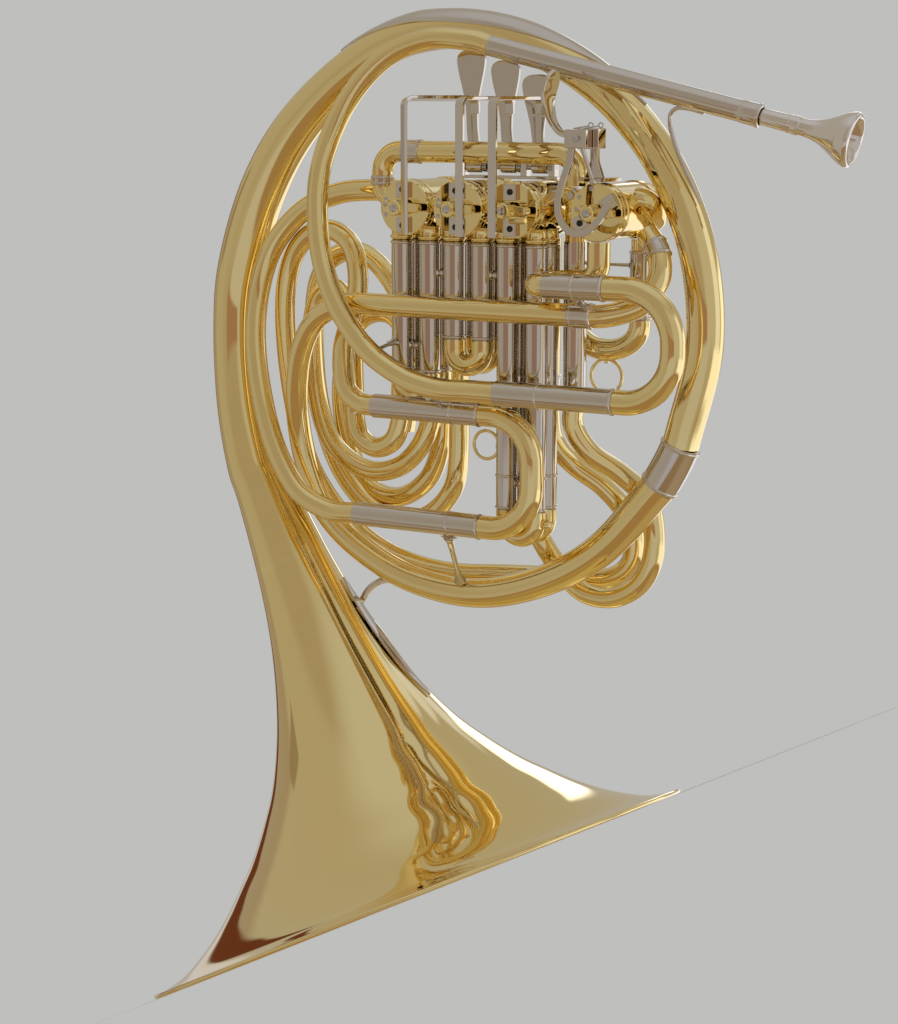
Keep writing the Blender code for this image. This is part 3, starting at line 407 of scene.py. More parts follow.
def metal(name, colour, dark, rough, coat, wave, line):
    """Polished metal: slight colour drift, smudges, hand-buffed ripple and a painted highlight that
    makes convex edges brighter.
    """
    mat, tree, shader, link, place = new_finish(name)
    shader.inputs["Metallic"].default_value = 1
    shader.inputs["Coat Weight"].default_value = coat
    shader.inputs["Coat Roughness"].default_value = 0.04

    drift = node(tree, "ShaderNodeTexNoise", Scale=14, Detail=3, Roughness=0.55)
    link(place, drift.inputs["Vector"])
    fade = node(tree, "ShaderNodeMapRange", From_Min=0.38, From_Max=0.68)
    link(drift.outputs["Fac"], fade.inputs["Value"])
    weak = math_node(tree, "MULTIPLY", fade.outputs["Result"], 0.22)
    tone = colour_mix(tree, weak, colour, dark)

    # Painted highlight: convex edges, found by pointiness, get a lighter base colour as if they
    # catch the light.
    painted_edge_highlight = node(tree, "ShaderNodeMapRange", From_Min=0.53, From_Max=0.62, To_Max=0.35)
    link(tree.nodes.new("ShaderNodeNewGeometry").outputs["Pointiness"], painted_edge_highlight.inputs["Value"])
    bright = [min(1, c * 1.12 + 0.05) for c in colour]
    edge = colour_mix(tree, painted_edge_highlight.outputs["Result"], tone, bright)
    link(edge, shader.inputs["Base Color"])

    smudge = node(tree, "ShaderNodeTexNoise", Scale=55, Detail=6, Roughness=0.62, Distortion=0.6)
    link(place, smudge.inputs["Vector"])
    polish = node(tree, "ShaderNodeMapRange", From_Min=0.35, From_Max=0.75, To_Min=rough * 0.8,
                  To_Max=rough * 1.9)
    link(smudge.outputs["Fac"], polish.inputs["Value"])
    link(polish.outputs["Result"], shader.inputs["Roughness"])

    ripple = node(tree, "ShaderNodeTexNoise", Scale=wave, Detail=2)
    scratch = node(tree, "ShaderNodeTexNoise", Scale=line, Detail=5, Roughness=0.7)
    for texture in (ripple, scratch):
        link(place, texture.inputs["Vector"])
    soft = node(tree, "ShaderNodeBump", Strength=0.003, Distance=0.001)
    fine = node(tree, "ShaderNodeBump", Strength=0.012, Distance=0.00002)
    link(ripple.outputs["Fac"], soft.inputs["Height"])
    link(scratch.outputs["Fac"], fine.inputs["Height"])
    link(soft.outputs["Normal"], fine.inputs["Normal"])
    link(fine.outputs["Normal"], shader.inputs["Normal"])
    return mat


def dull(name, colour, rough, grain):
    """Rubber: a faint mottling and a fine grain."""
    mat, tree, shader, link, place = new_finish(name)
    shader.inputs["Roughness"].default_value = rough
    mottle = node(tree, "ShaderNodeTexNoise", Scale=grain, Detail=4)
    link(place, mottle.inputs["Vector"])
    ramp = tree.nodes.new("ShaderNodeValToRGB")
    ramp.color_ramp.elements[0].color = (*[c * 0.8 for c in colour], 1)
    ramp.color_ramp.elements[1].color = (*[min(1, c * 1.2) for c in colour], 1)
    link(mottle.outputs["Fac"], ramp.inputs["Fac"])
    link(ramp.outputs["Color"], shader.inputs["Base Color"])
    bump = node(tree, "ShaderNodeBump", Strength=0.25, Distance=0.00005)
    link(mottle.outputs["Fac"], bump.inputs["Height"])
    link(bump.outputs["Normal"], shader.inputs["Normal"])
    return mat


BRASS = metal("lacquered_brass", (0.95, 0.77, 0.36), (0.92, 0.71, 0.30), 0.04, 0.2, 22, 1800)
NICKEL = metal("nickel_silver", (0.71, 0.65, 0.57), (0.66, 0.59, 0.51), 0.04, 0.1, 26, 2200)
SILVER = metal("polished_silver", (0.84, 0.78, 0.71), (0.79, 0.72, 0.64), 0.05, 0, 30, 2400)
STEEL = metal("steel", (0.60, 0.59, 0.57), (0.50, 0.48, 0.45), 0.14, 0, 40, 2600)
RUBBER = dull("black_rubber", (0.016, 0.015, 0.014), 0.62, 2400)


def piece(name, bm, mat, body=BODY, cad=(), bevel=0, sharp=38):
    """Lays the piece in the scene, rides it on its body and hides the solid it stands for."""
    bm.transform(HORN)
    bmesh.ops.recalc_face_normals(bm, faces=bm.faces)
    mesh = bpy.data.meshes.new(name)
    bm.to_mesh(mesh)
    bm.free()
    mesh.materials.append(mat)
    mesh.shade_smooth()
    mesh.set_sharp_from_angle(angle=math.radians(sharp))
    obj = bpy.data.objects.new(name, mesh)
    bpy.context.scene.collection.objects.link(obj)
    if bevel:
        edge = obj.modifiers.new("bevel", "BEVEL")
        edge.width, edge.segments, edge.limit_method = bevel * MM, 3, "ANGLE"
        edge.angle_limit = math.radians(35)
        edge.harden_normals = True
    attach(obj, body)
    if cad:
        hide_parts(*([cad] if isinstance(cad, str) else cad))


def pipe(name, path, radius, cad=(), sides=ROUND):
    piece(name, tube(path, radius, sides), BRASS, cad=cad, sharp=60)


def ferrule(name, path, where, length, radius, beads=True):
    """A nickel band over a tube's joint, round the point of the path nearest to where."""
    start = nearest(path, where) - length / 2
    steps = max(2, int(length / 2))
    outline = [(start, radius + 0.05), (start + 0.3, radius + FERRULE_RISE)]
    body = [(start + 2.2 + (length - 4.4) * k / steps, radius + FERRULE_RISE)
            for k in range(steps + 1)]
    if beads:
        outline += bead(start + 1.3, radius + FERRULE_RISE, 0.35, 0.6) + body
        outline += bead(start + length - 1.3, radius + FERRULE_RISE, 0.35, 0.6)
    else:
        outline += body
    outline += [(start + length - 0.3, radius + FERRULE_RISE), (start + length, radius + 0.05)]
    inner = [(s, radius - 0.3) for s, _ in reversed(outline)]
    keep = []
    for s, r in outline + inner:
        if not keep or abs(keep[-1][0] - s) > 1e-4 or abs(keep[-1][1] - r) > 1e-4:
            keep.append((s, r))
    piece(name, swept(path, keep), NICKEL)


# ---------------------------------------------------------------- bell and body

def bell_axis():
    return TURN.transposed() @ Vector((0, 0, 1))


def bell_point(along, turn, radius):
    spoke = TURN.transposed() @ Vector((math.cos(turn), math.sin(turn), 0))
    return RIM_CENTRE + along * bell_axis() + radius * spoke


def bell_radius(along):
    for (a, ra), (b, rb) in zip(BELL_CURVE, BELL_CURVE[1:]):
        if a <= along <= b:
            return ra + (rb - ra) * (along - a) / (b - a)
    return BELL_CURVE[-1][1]


BELL_CURVE = [(p.x, p.y) for p in smooth([(a, r, 0) for a, r in BELL_PROFILE], 6)]


def body_point(degrees, radius, y=0):
    turn = math.radians(degrees)
    return Vector((radius * math.cos(turn), y, radius * math.sin(turn)))


def make_bell():
    outside = [(a, r)
               for a, r in BELL_CURVE if a < THROAT[0]] + [(THROAT[0], bell_radius(THROAT[0]))]
    inside = [(a - BELL_WALL * 0.6, r - BELL_WALL * 0.6) for a, r in reversed(outside[:-1])]
    inside = [(THROAT[0], outside[-1][1] - BELL_WALL)] + inside
    roll = [(RIM_WIRE + RIM_WIRE * math.sin(t), BELL_RADIUS - RIM_WIRE + RIM_WIRE * math.cos(t))
            for t in [math.radians(d) for d in range(125, -156, -20)]]
    profile = outside[::-1] + roll + inside[::-1]
    bm = lathe(profile, RIM_CENTRE, bell_axis(), 192)
    piece("bell_flare_skin", bm, BRASS, cad="bell_flare", sharp=60)


def tail_path():
    throat = [RIM_CENTRE + t * bell_axis() for t in THROAT]
    left = [(-137.4, -1, -57), (-141, 0, -16), (-137.5, 0, 20), (-121.5, 0, 64), (-97, 0, 100),
            (-61, 0, 130), (-25, 0, 147)]
    over = [body_point(82 + (FERRULE_FROM - 82) * k / 5, BODY_RADIUS) for k in range(6)]
    return smooth(throat + left + over, 10)


def spread(keys, count):
    """The keys as a smooth run of count values."""
    run = smooth([(k, value, 0) for k, value in enumerate(keys)], 12)
    out = []
    for n in range(count):
        place = n / (count - 1) * (len(run) - 1)
        low = min(int(place), len(run) - 2)
        out.append(run[low].y + (run[low + 1].y - run[low].y) * (place - low))
    return out


def make_tail():
    path = tail_path()
    throat = [bell_radius(t) for t in THROAT[:-1]]
    radii = spread(throat
                   + [15.9, 14.6, 13.6, 13.3, 13.2, 12.3, 11.2, 10.4, 10.1, 10, 9.9, 9.8, 9.7, 9.6],
                   len(path))
    piece("bell_tail_skin", tube(path, radii, 56, [r - BELL_WALL for r in radii]), BRASS,
          cad="bell_tail",
          sharp=60)
    arc = [body_point(FERRULE_FROM + 1 + (FERRULE_TO - FERRULE_FROM - 2) * k / 30, BODY_RADIUS)
           for k in range(31)]
    total = lengths(arc)[-1]
    outline = [(1.9, 9.7), (2.1, 10.2)] + bead(3.4, 10.2, 0.6, 0.9)
    outline += [(6 + (total - 12) * k / 8, 10.2) for k in range(9)]
    outline += bead(total - 3.4, 10.2, 0.6, 0.9) + [(total - 2.1, 10.2), (total - 1.9, 9.7)]
    outline += [(s, 8.4) for s in (total - 1.9, total * 0.66, total * 0.33, 1.9)]
    piece("bell_ferrule_band", swept(arc, outline, 48), NICKEL, cad="bell_ferrule")


def branch_path():
    bottom = [body_point(t, r, y) for t, r, y in (
        (FERRULE_TO, BODY_RADIUS, 0), (-52, 150.5, 0), (-68, 151, 0), (-84, 151.5, 0),
                                                  (-100, 149, 0), (-114, 144, -2), (-125, 137, -5),
        (-134, 125, -9))]
    left = [(-89, -14, -67), (-86.5, -20, -44), (-78, -27, -20), (-64, -32, -2), (-45, -33, 6.5),
            (-25, -33, 7)]
    right = [(92, -33, 7), (110, -32, 7.5), (126, -27, 13), (133, -20, 25), (130, -14, 38),
             (121.5, -10, 48)]
    return smooth(bottom + left, 8) + smooth(right, 8)


def make_branch():
    path = branch_path()
    runs = lengths(path)
    wide = runs[8 * 7]
    radii = [9.6 - 3 * min(1, s / wide) for s in runs]
    radii = [max(MAIN_TUBE, r - 0.7 * min(1, max(0, s - wide) / 90)) for r, s in zip(radii, runs)]
    pipe("body_branch_tube", path, radii, "body_branch", 40)
    ferrule("body_branch_ferrule", path, (97, -33, 7), 13, MAIN_TUBE)
    ferrule("body_branch_end_ferrule", path, (129, -13.6, 40), 9, MAIN_TUBE)


def make_guard():
    """The thin plate over the top, its edges eased down to points at both ends."""
    bm = bmesh.new()
    count, across = 72, 16
    rings = []
    for k in range(count + 1):
        share = k / count
        degrees = 116 - 72 * share
        path_radius = BODY_RADIUS - 6.5 * max(0, (degrees - 96) / 20) ** 1.2
        tube_radius = 10.1 + 1.2 * max(0, (degrees - 90) / 26)
        half = math.radians(5 + 65 * math.sin(math.pi * min(1, share * 1.15)) ** 0.7
                            if share < 0.86 else 5 + 29 * (1 - share) / 0.14)
        centre, out = body_point(degrees, path_radius), body_point(degrees, 1)
        inner, outer = [], []
        for n in range(across + 1):
            turn = -half + 2 * half * n / across
            spoke = math.cos(turn) * out + math.sin(turn) * Vector((0, -1, 0))
            thin = 0.25 if n in (0, across) else 0
            inner.append(bm.verts.new(centre + (tube_radius - 0.15) * spoke))
            outer.append(bm.verts.new(centre + (tube_radius + 0.9 - thin) * spoke))
        rings.append(inner + outer[::-1])
    skin(bm, rings)
    piece("guard_plate_sheet", bm, NICKEL, cad="guard_plate", sharp=50)
    path = [body_point(47 - k * 0.8, BODY_RADIUS + 6, -9.2) for k in range(26)]
    width = [1 + 4.4 * min(1, k / 5, (25 - k) / 18) for k in range(26)]
    piece("guard_plate_tip", strip(path, width, 0.8, (0.35, 0.7, 0.35), crown=0.1), BRASS)


# ---------------------------------------------------------------- mouthpipe

def make_mouthpipe():
    start = MOUTHPIPE_START + MOUTH * 0.05
    path = smooth([start, start - MOUTH * 12, (0, -23.5, 144.5), (-26, -25.5, 134), (-47, -30, 110),
                   (-58, -37, 76), (-55, -43, 41), (-44, -46, 11), (-25, -46, -14), (-2, -46, -28),
                   (20, -46, MAIN_SLIDE_Z[0]), (40, -46, MAIN_SLIDE_Z[0]),
                   (56.4, -46, MAIN_SLIDE_Z[0])], 10)
    radii = [5.5 + 0.4 * k / (len(path) - 1) for k in range(len(path))]
    pipe("lead_pipe_tube", path, radii, "lead_pipe", 32)
    length = (RECEIVER_END - MOUTHPIPE_START).length
    outline = [(0, 5.2), (0.4, 5.4)]
    outline += [(2 + (length - 14) * k / 10, 5.4) for k in range(11)]
    outline += [(length - 10.4, 5.4), (length - 10, 5.65), (length - 2.6, 5.65)]
    outline += bead(length - 1.1, 5.65, 0.4, 0.9) + [(length, 5.3), (length, 4.4)]
    outline += [(length - 22, 4), (length - 22, 3), (0, 3.4)]
    piece("receiver_tube", lathe(outline, MOUTHPIPE_START, MOUTH, 40), NICKEL,
          cad="mouthpipe_receiver")
    outside = [(-18, 3.4), (0.5, 3.9), (1, 4.15), (14, 4.3), (14.3, 4.6), (15, 4.65), (15.5, 4.4),
               (16.5, 4.4), (17, 4.65), (20, 4.7), (20.6, 4.25)]
    cone = smooth([(20.6, 4.25, 0), (25, 4.5, 0), (30, 5.7, 0), (35, 8, 0), (40, 10.9, 0),
                   (41.3, 11.7, 0), (43.5, 12.7, 0), (45.5, 13.4, 0), (46.8, 13.6, 0),
                   (48, 13.2, 0), (48.6, 12.2, 0), (48.5, 11.2, 0), (47.6, 10.3, 0), (45.6, 9.3, 0),
                   (42, 8.1, 0), (37, 6.2, 0), (32, 4.4, 0), (27, 3, 0), (22, 2.3, 0)], 5)
    outside += [(p.x, p.y) for p in cone[1:]] + [(-18, 2.8)]
    piece("mouthpiece_turned", lathe(outside, RECEIVER_END, MOUTH, 72), SILVER, "mouthpiece_body",
          "mouthpiece", sharp=30)


def make_lead_brace():
    path = smooth([(151.3, -9.5, 107), (143.7, -9.5, 109.3), (137, -9, 109.8), (132.9, -8.5, 107.2),
                   (132.3, -8, 101.5), (134.4, -7.5, 93.2), (137.6, -7, 85.3), (141.3, -6.5, 77.5),
                   (145.1, -5.6, 69.7), (148, -4.6, 62.8)], 6)
    last = len(path) - 1
    radii = [0.65 + 0.5 * min(1, 7 * min(k, last - k) / last) for k in range(last + 1)]
    piece("lead_pipe_brace_wire", tube(path, radii, 16), NICKEL, cad="lead_pipe_brace")


# ---------------------------------------------------------------- branches

def make_branches():
    x1, x4 = VALVE_X[0] - CASING_RADIUS - 6.2, VALVE_X[3] - CASING_RADIUS - 2.6
    cross = fillet([(x1 + 3.5, FRONT_ROW, 63.5), (x1, FRONT_ROW, 66), (x1, FRONT_ROW, 87),
                    (x4, FRONT_ROW, 87), (x4, FRONT_ROW, 71)], [4, 11, 11])
    pipe("crossover_pipe", cross, SMALL_TUBE, "crossover_tube")
    ferrule("crossover_ferrule", cross, (-8.5, FRONT_ROW, 87), 11, SMALL_TUBE)
    ferrule("crossover_foot_ferrule", cross, (x1, FRONT_ROW, 72), 5.5, SMALL_TUBE)
    z = MAIN_SLIDE_Z[1]
    inlet = fillet([(84.4, MAIN_SLIDE_Y, z), (75.2, MAIN_SLIDE_Y, z), (75.2, FRONT_ROW, z),
                    (VALVE_X[3] - 4, FRONT_ROW, z + 1), (VALVE_X[3] - 4, FRONT_ROW, 43.2)],
                   [6.6, 9, 9])
    pipe("change_inlet_pipe", inlet, MAIN_TUBE, "change_valve_inlet")
    first = smooth([(-24, -8, 65), (-36, -8, 66), (-64, -8, 64), (-88, -9, 54), (-107, -11, 34),
                    (-116, -13, 8), (-116, -17, -20), (-108, -22, -51), (-95, -28, -77),
                    (-77, -32, -98), (-56, -33, -106.5), (-37.6, -33, -106.5)], 10)
    pipe("first_branch_pipe", first, MAIN_TUBE, "first_branch")
    extension = smooth([(-25.6, -33, -47), (-36, -33, -46), (-46, -32.5, -38), (-51, -27, -20),
                        (-51.5, -19, -4), (-50, -14, 12), (-53, -10, 27), (-60, -7.5, 38),
                        (-72, -6, 43.5), (-87, -4, 41), (-99, -3, 29), (-105.5, -2, 10),
                        (-107.5, 0, -16), (-105, 2, -48), (-98, 4, -82), (-84, 7, -108),
                        (-63, 11, -129), (-38, 14, -140.5), (-8, 15.5, -144.5), (25, 20, -143),
                        (58, 27, -142), (81, 30, -141), (94, 31, -132), (97, 30, -118),
                        (93, 27, -103), (82, 22, -89), (68, 16, -78), (60, 9, -66), (58, 6, -50),
                        (58, 6, 0), (58, 6, 43)], 8)
    pipe("f_extension_pipe", extension, SMALL_TUBE, "f_extension")
    ferrule("f_extension_ferrule", extension, (58, 6, -36), 14, SMALL_TUBE)
    loop = fillet([(71, -4, 66), (78, -4, 66), (78, -4, 50)], [5.5])
    loop += smooth([(78, -4, -40), (77, -3, -54), (85, 1, -68), (98, 10, -79), (110, 16.5, -92),
                    (115, 17, -108), (114, 17, -126), (106, 17, -140), (91, 17, -148),
                    (74, 16, -146.5), (60, 14.6, -134), (52, 8, -118), (46, 6, -100)], 8)
    loop += [Vector((44.5, 6, -60)), Vector((44.5, 6, 43))]
    pipe("s_branch_pipe", loop, SMALL_TUBE, "s_branch")
    piece("s_branch_sleeve",
          rod((78, -4, -36), (78, -4, 42), SMALL_TUBE + 0.5, ROUND, SMALL_TUBE - 0.5), NICKEL)
    ferrule("s_branch_elbow_ferrule", loop, (75.6, -4, 63.6), 3, SMALL_TUBE, False)
    piece("s_branch_start_ferrule", rod((62, -4, 66), (71.4, -4, 66), 6.1, ROUND), NICKEL)
    coil = smooth([(-32, 4, 43), (-32, 3, 0), (-32, 1.4, -48), (-32.2, 1, -60), (-36.6, 0.5, -70.8),
                   (-47.5, 0.5, -75.6), (-58.4, 1, -70.8), (-62.8, 2, -60), (-63.4, 2.6, -48),
                   (-65.5, 4, -20), (-70, 7, 0), (-80, 10, 10), (-92, 12, 6), (-98, 13, -12),
                   (-97, 14, -46), (-89, 14, -73), (-74, 14, -87), (-56, 14, -91.5), (-37, 14, -85),
                   (-24, 15, -68), (-22, 16, -48), (-30, 17, -20), (-44, 18.5, 8), (-62, 21, 26),
                   (-82, 24, 30), (-99, 26, 19), (-106, 27, -4), (-105, 27, -48), (-94, 27, -86),
                   (-76, 27, -110), (-54, 26, -120), (-31, 23, -117), (-13, 20, -103),
                   (-6, 19, -84), (-5, 18, -40), (-2, 12, 0), (0, 8, 22), (0.5, 6, 43)], 8)
    inner = smooth([(-24, 30, 20), (-23.3, 30, -39), (-22.7, 30, -61.4), (-24.7, 31, -78.3),
                    (-33.9, 32, -97), (-52.5, 33, -108.5), (-72.7, 35, -106), (-86, 37, -91),
                    (-94, 38, -69.8), (-96, 39, -47.1), (-92, 40, -24), (-80, 40, -8),
                    (-62, 39, -6), (-49, 37, -20), (-46, 35, -45), (-50, 34, -70)], 8)
    pipe("left_coil_inner_pipe", inner, SMALL_TUBE)
    pipe("left_coil_pipe", coil, SMALL_TUBE, "left_coil")
    ferrule("left_coil_ferrule", coil, (-32, 3.4, 20), 12, SMALL_TUBE)


# ---------------------------------------------------------------- slides

def make_large_slide(name, y, levels, starts, ends, legs, reach, bend, marks):
    for level, start, end, mark, which in zip(levels, starts, ends, marks, ("lower", "upper")):
        length = end - start
        outline = beaded(length, MAIN_SLEEVE, [mark - start, length - 1.2], MAIN_BORE)
        piece(f"{name}_{which}_sleeve_band", lathe(outline, (start, y, level), (1, 0, 0), 40),
              NICKEL,
              cad=f"{name}_{which}_sleeve")
    low, high = levels
    bow = fillet([(ends[0] + GAP, y, low), (reach, y, low), (reach, y, high),
                  (ends[1] + GAP, y, high)],
                 bend, 4)
    body = {"main_slide": "main_tuning_slide", "f_slide": "f_tuning_slide"}[name]
    piece(f"{name}_bow_bend", tube(bow, MAIN_SLEEVE - 0.15, 36), BRASS, body, f"{name}_bow",
          sharp=60)
    bm = bmesh.new()
    for end, leg, level in zip(ends, legs, levels):
        rod((end - leg, y, level), (end + 2, y, level), MAIN_LEG, 32, MAIN_LEG - 0.6, bm)
    piece(f"{name}_legs", bm, NICKEL, body)


def small_bow(path_x, y, end, radius, body, name, cad, leg):
    left, right = path_x
    middle = (left + right) / 2
    path = [Vector((left, y, end))]
    path += [Vector((middle - radius * math.cos(math.pi * k / 24), y,
                     end - 5 - radius * math.sin(math.pi * k / 24))) for k in range(25)]
    path.append(Vector((right, y, end)))
    piece(name, tube(path, SMALL_SLEEVE - 0.1), BRASS, body, cad, sharp=60)
    bm = bmesh.new()
    for x in path_x:
        rod((x, y, end - 1), (x, y, end + leg), SMALL_LEG, 24, SMALL_LEG - 0.6, bm)
    piece(name + "_legs", bm, NICKEL, body)


def make_valve_slides():
    for index, (x, bottom) in enumerate(zip(VALVE_X, VALVE_SLIDE_ENDS)):
        bm = bmesh.new()
        top = PORT_END - GAP
        length = top - bottom
        beads = [1.2] + ([18] if index == 2 else []) + [length - 1.2]
        for sx in (x - PORT_SPREAD, x + PORT_SPREAD):
            for sy in (FRONT_ROW, BACK_ROW):
                lathe(beaded(length, SMALL_SLEEVE, beads, SMALL_BORE), (sx, sy, bottom), (0, 0, 1),
                      32, bm)
        cad = f"valve_sleeves_{index + 1}"
        piece(f"{cad}_tubes", bm, NICKEL, cad=cad)
        make_small_braces(index, x, bottom)
        end, leg = bottom - GAP, VALVE_LEG_LENGTHS[index]
        for row, kind in ((FRONT_ROW, "f"), (BACK_ROW, "bflat")):
            name = f"{kind}_valve_slide_{index + 1}"
            small_bow((x - PORT_SPREAD, x + PORT_SPREAD), row, end, PORT_SPREAD,
                      f"{kind}_slide_{index + 1}", name + "_bend", name, leg)
    piece("third_slide_knob", knob(Vector((71, -20, -104.5))), BRASS, "f_slide_3")
    bm = loop_ring((34.5, -20, -65), 7.5, 0.9, (1, 0, 0), (0, 0, 1))
    rod((42.6, -20, -65), (40.8, -20, -65), 1.5, 12, None, bm)
    piece("third_slide_ring", bm, BRASS)


def knob(where):
    outward = Vector((0.86, 0, -0.5)).normalized()
    bm = lathe([(-7.5, 0), (-7.5, 3), (-6.6, 3.2), (-5.8, 2.2), (-3, 1.6), (-2.4, 0)], where,
               outward, 20)
    return ball(where, 3.1, bm)


def make_small_braces(index, x, bottom):
    """Spindle struts between the sleeves, each with a ball at its middle."""
    bm = bmesh.new()
    gap = 2 * PORT_SPREAD - 2 * SMALL_SLEEVE
    for row in (FRONT_ROW, BACK_ROW):
        spindle((x - PORT_SPREAD + SMALL_SLEEVE - 0.2, row, bottom + 14), (1, 0, 0), gap + 0.4, bm)
    if index < 2:
        reach = VALVE_X[index + 1] - VALVE_X[index] - 2 * PORT_SPREAD - 2 * SMALL_SLEEVE
        spindle((x + PORT_SPREAD + SMALL_SLEEVE - 0.2, FRONT_ROW, 24), (1, 0, 0), reach + 0.4, bm)
    piece(f"valve_sleeve_struts_{index + 1}", bm, NICKEL)


def spindle(start, direction, length, bm):
    half = length / 2
    outline = [(0, 0), (0, 2.4), (0.5, 2.2), (1.2, 1), (half - 1.6, 0.8), (half - 0.9, 1.5),
               (half, 1.8), (half + 0.9, 1.5), (half + 1.6, 0.8), (length - 1.2, 1),
               (length - 0.5, 2.2), (length, 2.4), (length, 0)]
    return lathe(outline, start, direction, 16, bm)


def make_rear_slide():
    left, right = REAR_SLIDE_X
    y, bottom, top = REAR_SLIDE_Y, 2, 38
    bm = bmesh.new()
    for x in REAR_SLIDE_X:
        lathe(beaded(top - bottom, SMALL_SLEEVE, [1.2, top - bottom - 1.2], SMALL_BORE),
              (x, y, bottom), (0, 0, 1), 32,
              bm)
    spindle((left + SMALL_SLEEVE - 0.2, y, top - 8), (1, 0, 0),
            right - left - 2 * SMALL_SLEEVE + 0.4, bm)
    piece("rear_slide_sleeve_tubes", bm, NICKEL, cad="rear_slide_sleeves")
    feed = fillet([(left, y, top - 3), (left, y, 42), (80, y, 55.5), (87.6, y, 57)], [8, 8])
    bm = tube(feed, 5.1)
    rod((right, y, top - 3), (right, y, 43.5), 5.1, ROUND, None, bm)
    piece("rear_slide_feeds", bm, BRASS)
    end = bottom - GAP
    radius, middle, depth = (right - left) / 2, (left + right) / 2, 14
    small_bow_path = [Vector((left, y, end))]
    small_bow_path += [Vector((middle - radius * math.cos(math.pi * k / 32), y,
                               end - 2 - depth * math.sin(math.pi * k / 32))) for k in range(33)]
    small_bow_path.append(Vector((right, y, end)))
    piece("rear_slide_bend", tube(small_bow_path, SMALL_SLEEVE - 0.1), BRASS, "rear_tuning_slide",
          "rear_slide_bow", sharp=60)
    bm = bmesh.new()
    for x in REAR_SLIDE_X:
        rod((x, y, end - 1), (x, y, end + 32), SMALL_LEG, 24, SMALL_LEG - 0.6, bm)
    piece("rear_slide_legs", bm, NICKEL, "rear_tuning_slide")
    low = end - 2 - depth - SMALL_SLEEVE
    bm = loop_ring((middle, y, low - 8.2), 9, 0.9, (1, 0, 0), (0, 0, 1))
    lathe([(0, 0), (0, 2), (1.6, 1.3), (3, 1.3), (3, 0)], (middle, y, low + 1.6), (0, 0, -1), 16,
          bm)
    piece("rear_slide_ring", bm, BRASS, "rear_tuning_slide")


# ---------------------------------------------------------------- valves

def make_valve(index):
    x = VALVE_X[index]
    centre, number = (x, 0, VALVE_Z), index + 1
    front, back = CASING_FRONT, CASING_BACK
    shell = [(front, STEM_RADIUS + 0.6), (front, CASING_RADIUS - 0.4), (front + 0.4, CASING_RADIUS)]
    shell += bead(front + 4.2, CASING_RADIUS, 0.4, 0.8)
    shell += [(back - 4.4, CASING_RADIUS), (back - 4, CASING_RADIUS + 0.6),
              (back, CASING_RADIUS + 0.6), (back, CASING_BORE), (front + 2, CASING_BORE),
              (front + 2, STEM_RADIUS + 0.6)]
    bm = lathe(shell, centre, (0, 1, 0), 64)
    if index < 3:
        for dx in (-PORT_SPREAD, PORT_SPREAD):
            for row in (FRONT_ROW, BACK_ROW):
                port = [(0, 4.8), (0, SMALL_TUBE + 0.25)] + bead(1.4, SMALL_TUBE, 0.7, 1)
                port += [(3.2, SMALL_TUBE - 0.1), (6.4, SMALL_TUBE),
                         (PORT_LENGTH, SMALL_TUBE + 0.7), (PORT_LENGTH, 4.8)]
                lathe(port, (x + dx, row, PORT_END), (0, 0, 1), 32, bm)
    if index < 2:
        for row in (FRONT_ROW, BACK_ROW):
            link = [(12.6, 4.6), (12.6, SMALL_TUBE), (17.7, SMALL_TUBE), (17.7, 4.6)]
            lathe(link, (x, row, VALVE_Z + 1), (1, 0, 0), 32, bm)
    if index == 3:
        z = VALVE_Z + 6.5
        loop = fillet([(x + 11.5, BACK_ROW, z), (x + 16.7, BACK_ROW, z),
                       (x + 16.7, THIRD_ROW, VALVE_Z - 5.5), (x + 12, THIRD_ROW, VALVE_Z - 5.5)], 5)
        tube(loop, SMALL_TUBE, ROUND, None, bm)
    piece(f"valve_casing_{number}_body", bm, BRASS, cad=f"valve_casing_{number}")
    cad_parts[f"rotor_{number}"].data.materials.clear()
    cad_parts[f"rotor_{number}"].data.materials.append(BRASS)
    make_stop_plate(index)
    make_stop_arm(index)
    make_cap(index)


def make_stop_plate(index):
    x, number = VALVE_X[index], index + 1
    front, back = CASING_FRONT - 3.9, CASING_FRONT - GAP
    disc = [(front, STEM_RADIUS + 0.5), (front, PLATE_RADIUS - 0.5), (front + 0.5, PLATE_RADIUS),
            (back - 1.2, PLATE_RADIUS), (back - 0.8, PLATE_RADIUS - 0.5),
            (back, PLATE_RADIUS - 0.5), (back, STEM_RADIUS + 0.5)]
    piece(f"stop_disc_{number}", lathe(disc, (x, 0, VALVE_Z), (0, 1, 0), 72), BRASS,
          cad=f"stop_plate_{number}", sharp=30)
    turn = Matrix.Rotation(math.radians(58 if index == 3 else 0), 3, "Y")
    bar, corks, screws = bmesh.new(), bmesh.new(), bmesh.new()
    for side in (-1, 1):
        made = block((-3.6, front - 2.6, 4.9), (3.6, front + 0.2, 13.2))
        for vert in made.verts:
            vert.co.z *= side
            vert.co = turn @ vert.co + Vector((x, 0, VALVE_Z))
        mesh = bpy.data.meshes.new("scratch")
        made.to_mesh(mesh)
        made.free()
        bar.from_mesh(mesh)
        bpy.data.meshes.remove(mesh)
        spot = turn @ Vector((0.4, 0, side * 9.3)) + Vector((x, 0, VALVE_Z))
        lathe([(front - 3.2, 0), (front - 3.2, 1.35), (front - 3, 1.6), (front - 2.5, 1.6),
               (front - 2.5, 0)], (spot.x, 0, spot.z), (0, 1, 0), 24, corks)
    for side in (-1, 1):
        spot = turn @ Vector((-11.4, 0, side * 4)) + Vector((x, 0, VALVE_Z))
        screw_head((spot.x, front, spot.z), 1.15, screws, 0.5)
    piece(f"cork_plate_{number}", bar, NICKEL, bevel=0.35)
    piece(f"stop_corks_{number}", corks, RUBBER)
    piece(f"stop_plate_screws_{number}", screws, STEEL)


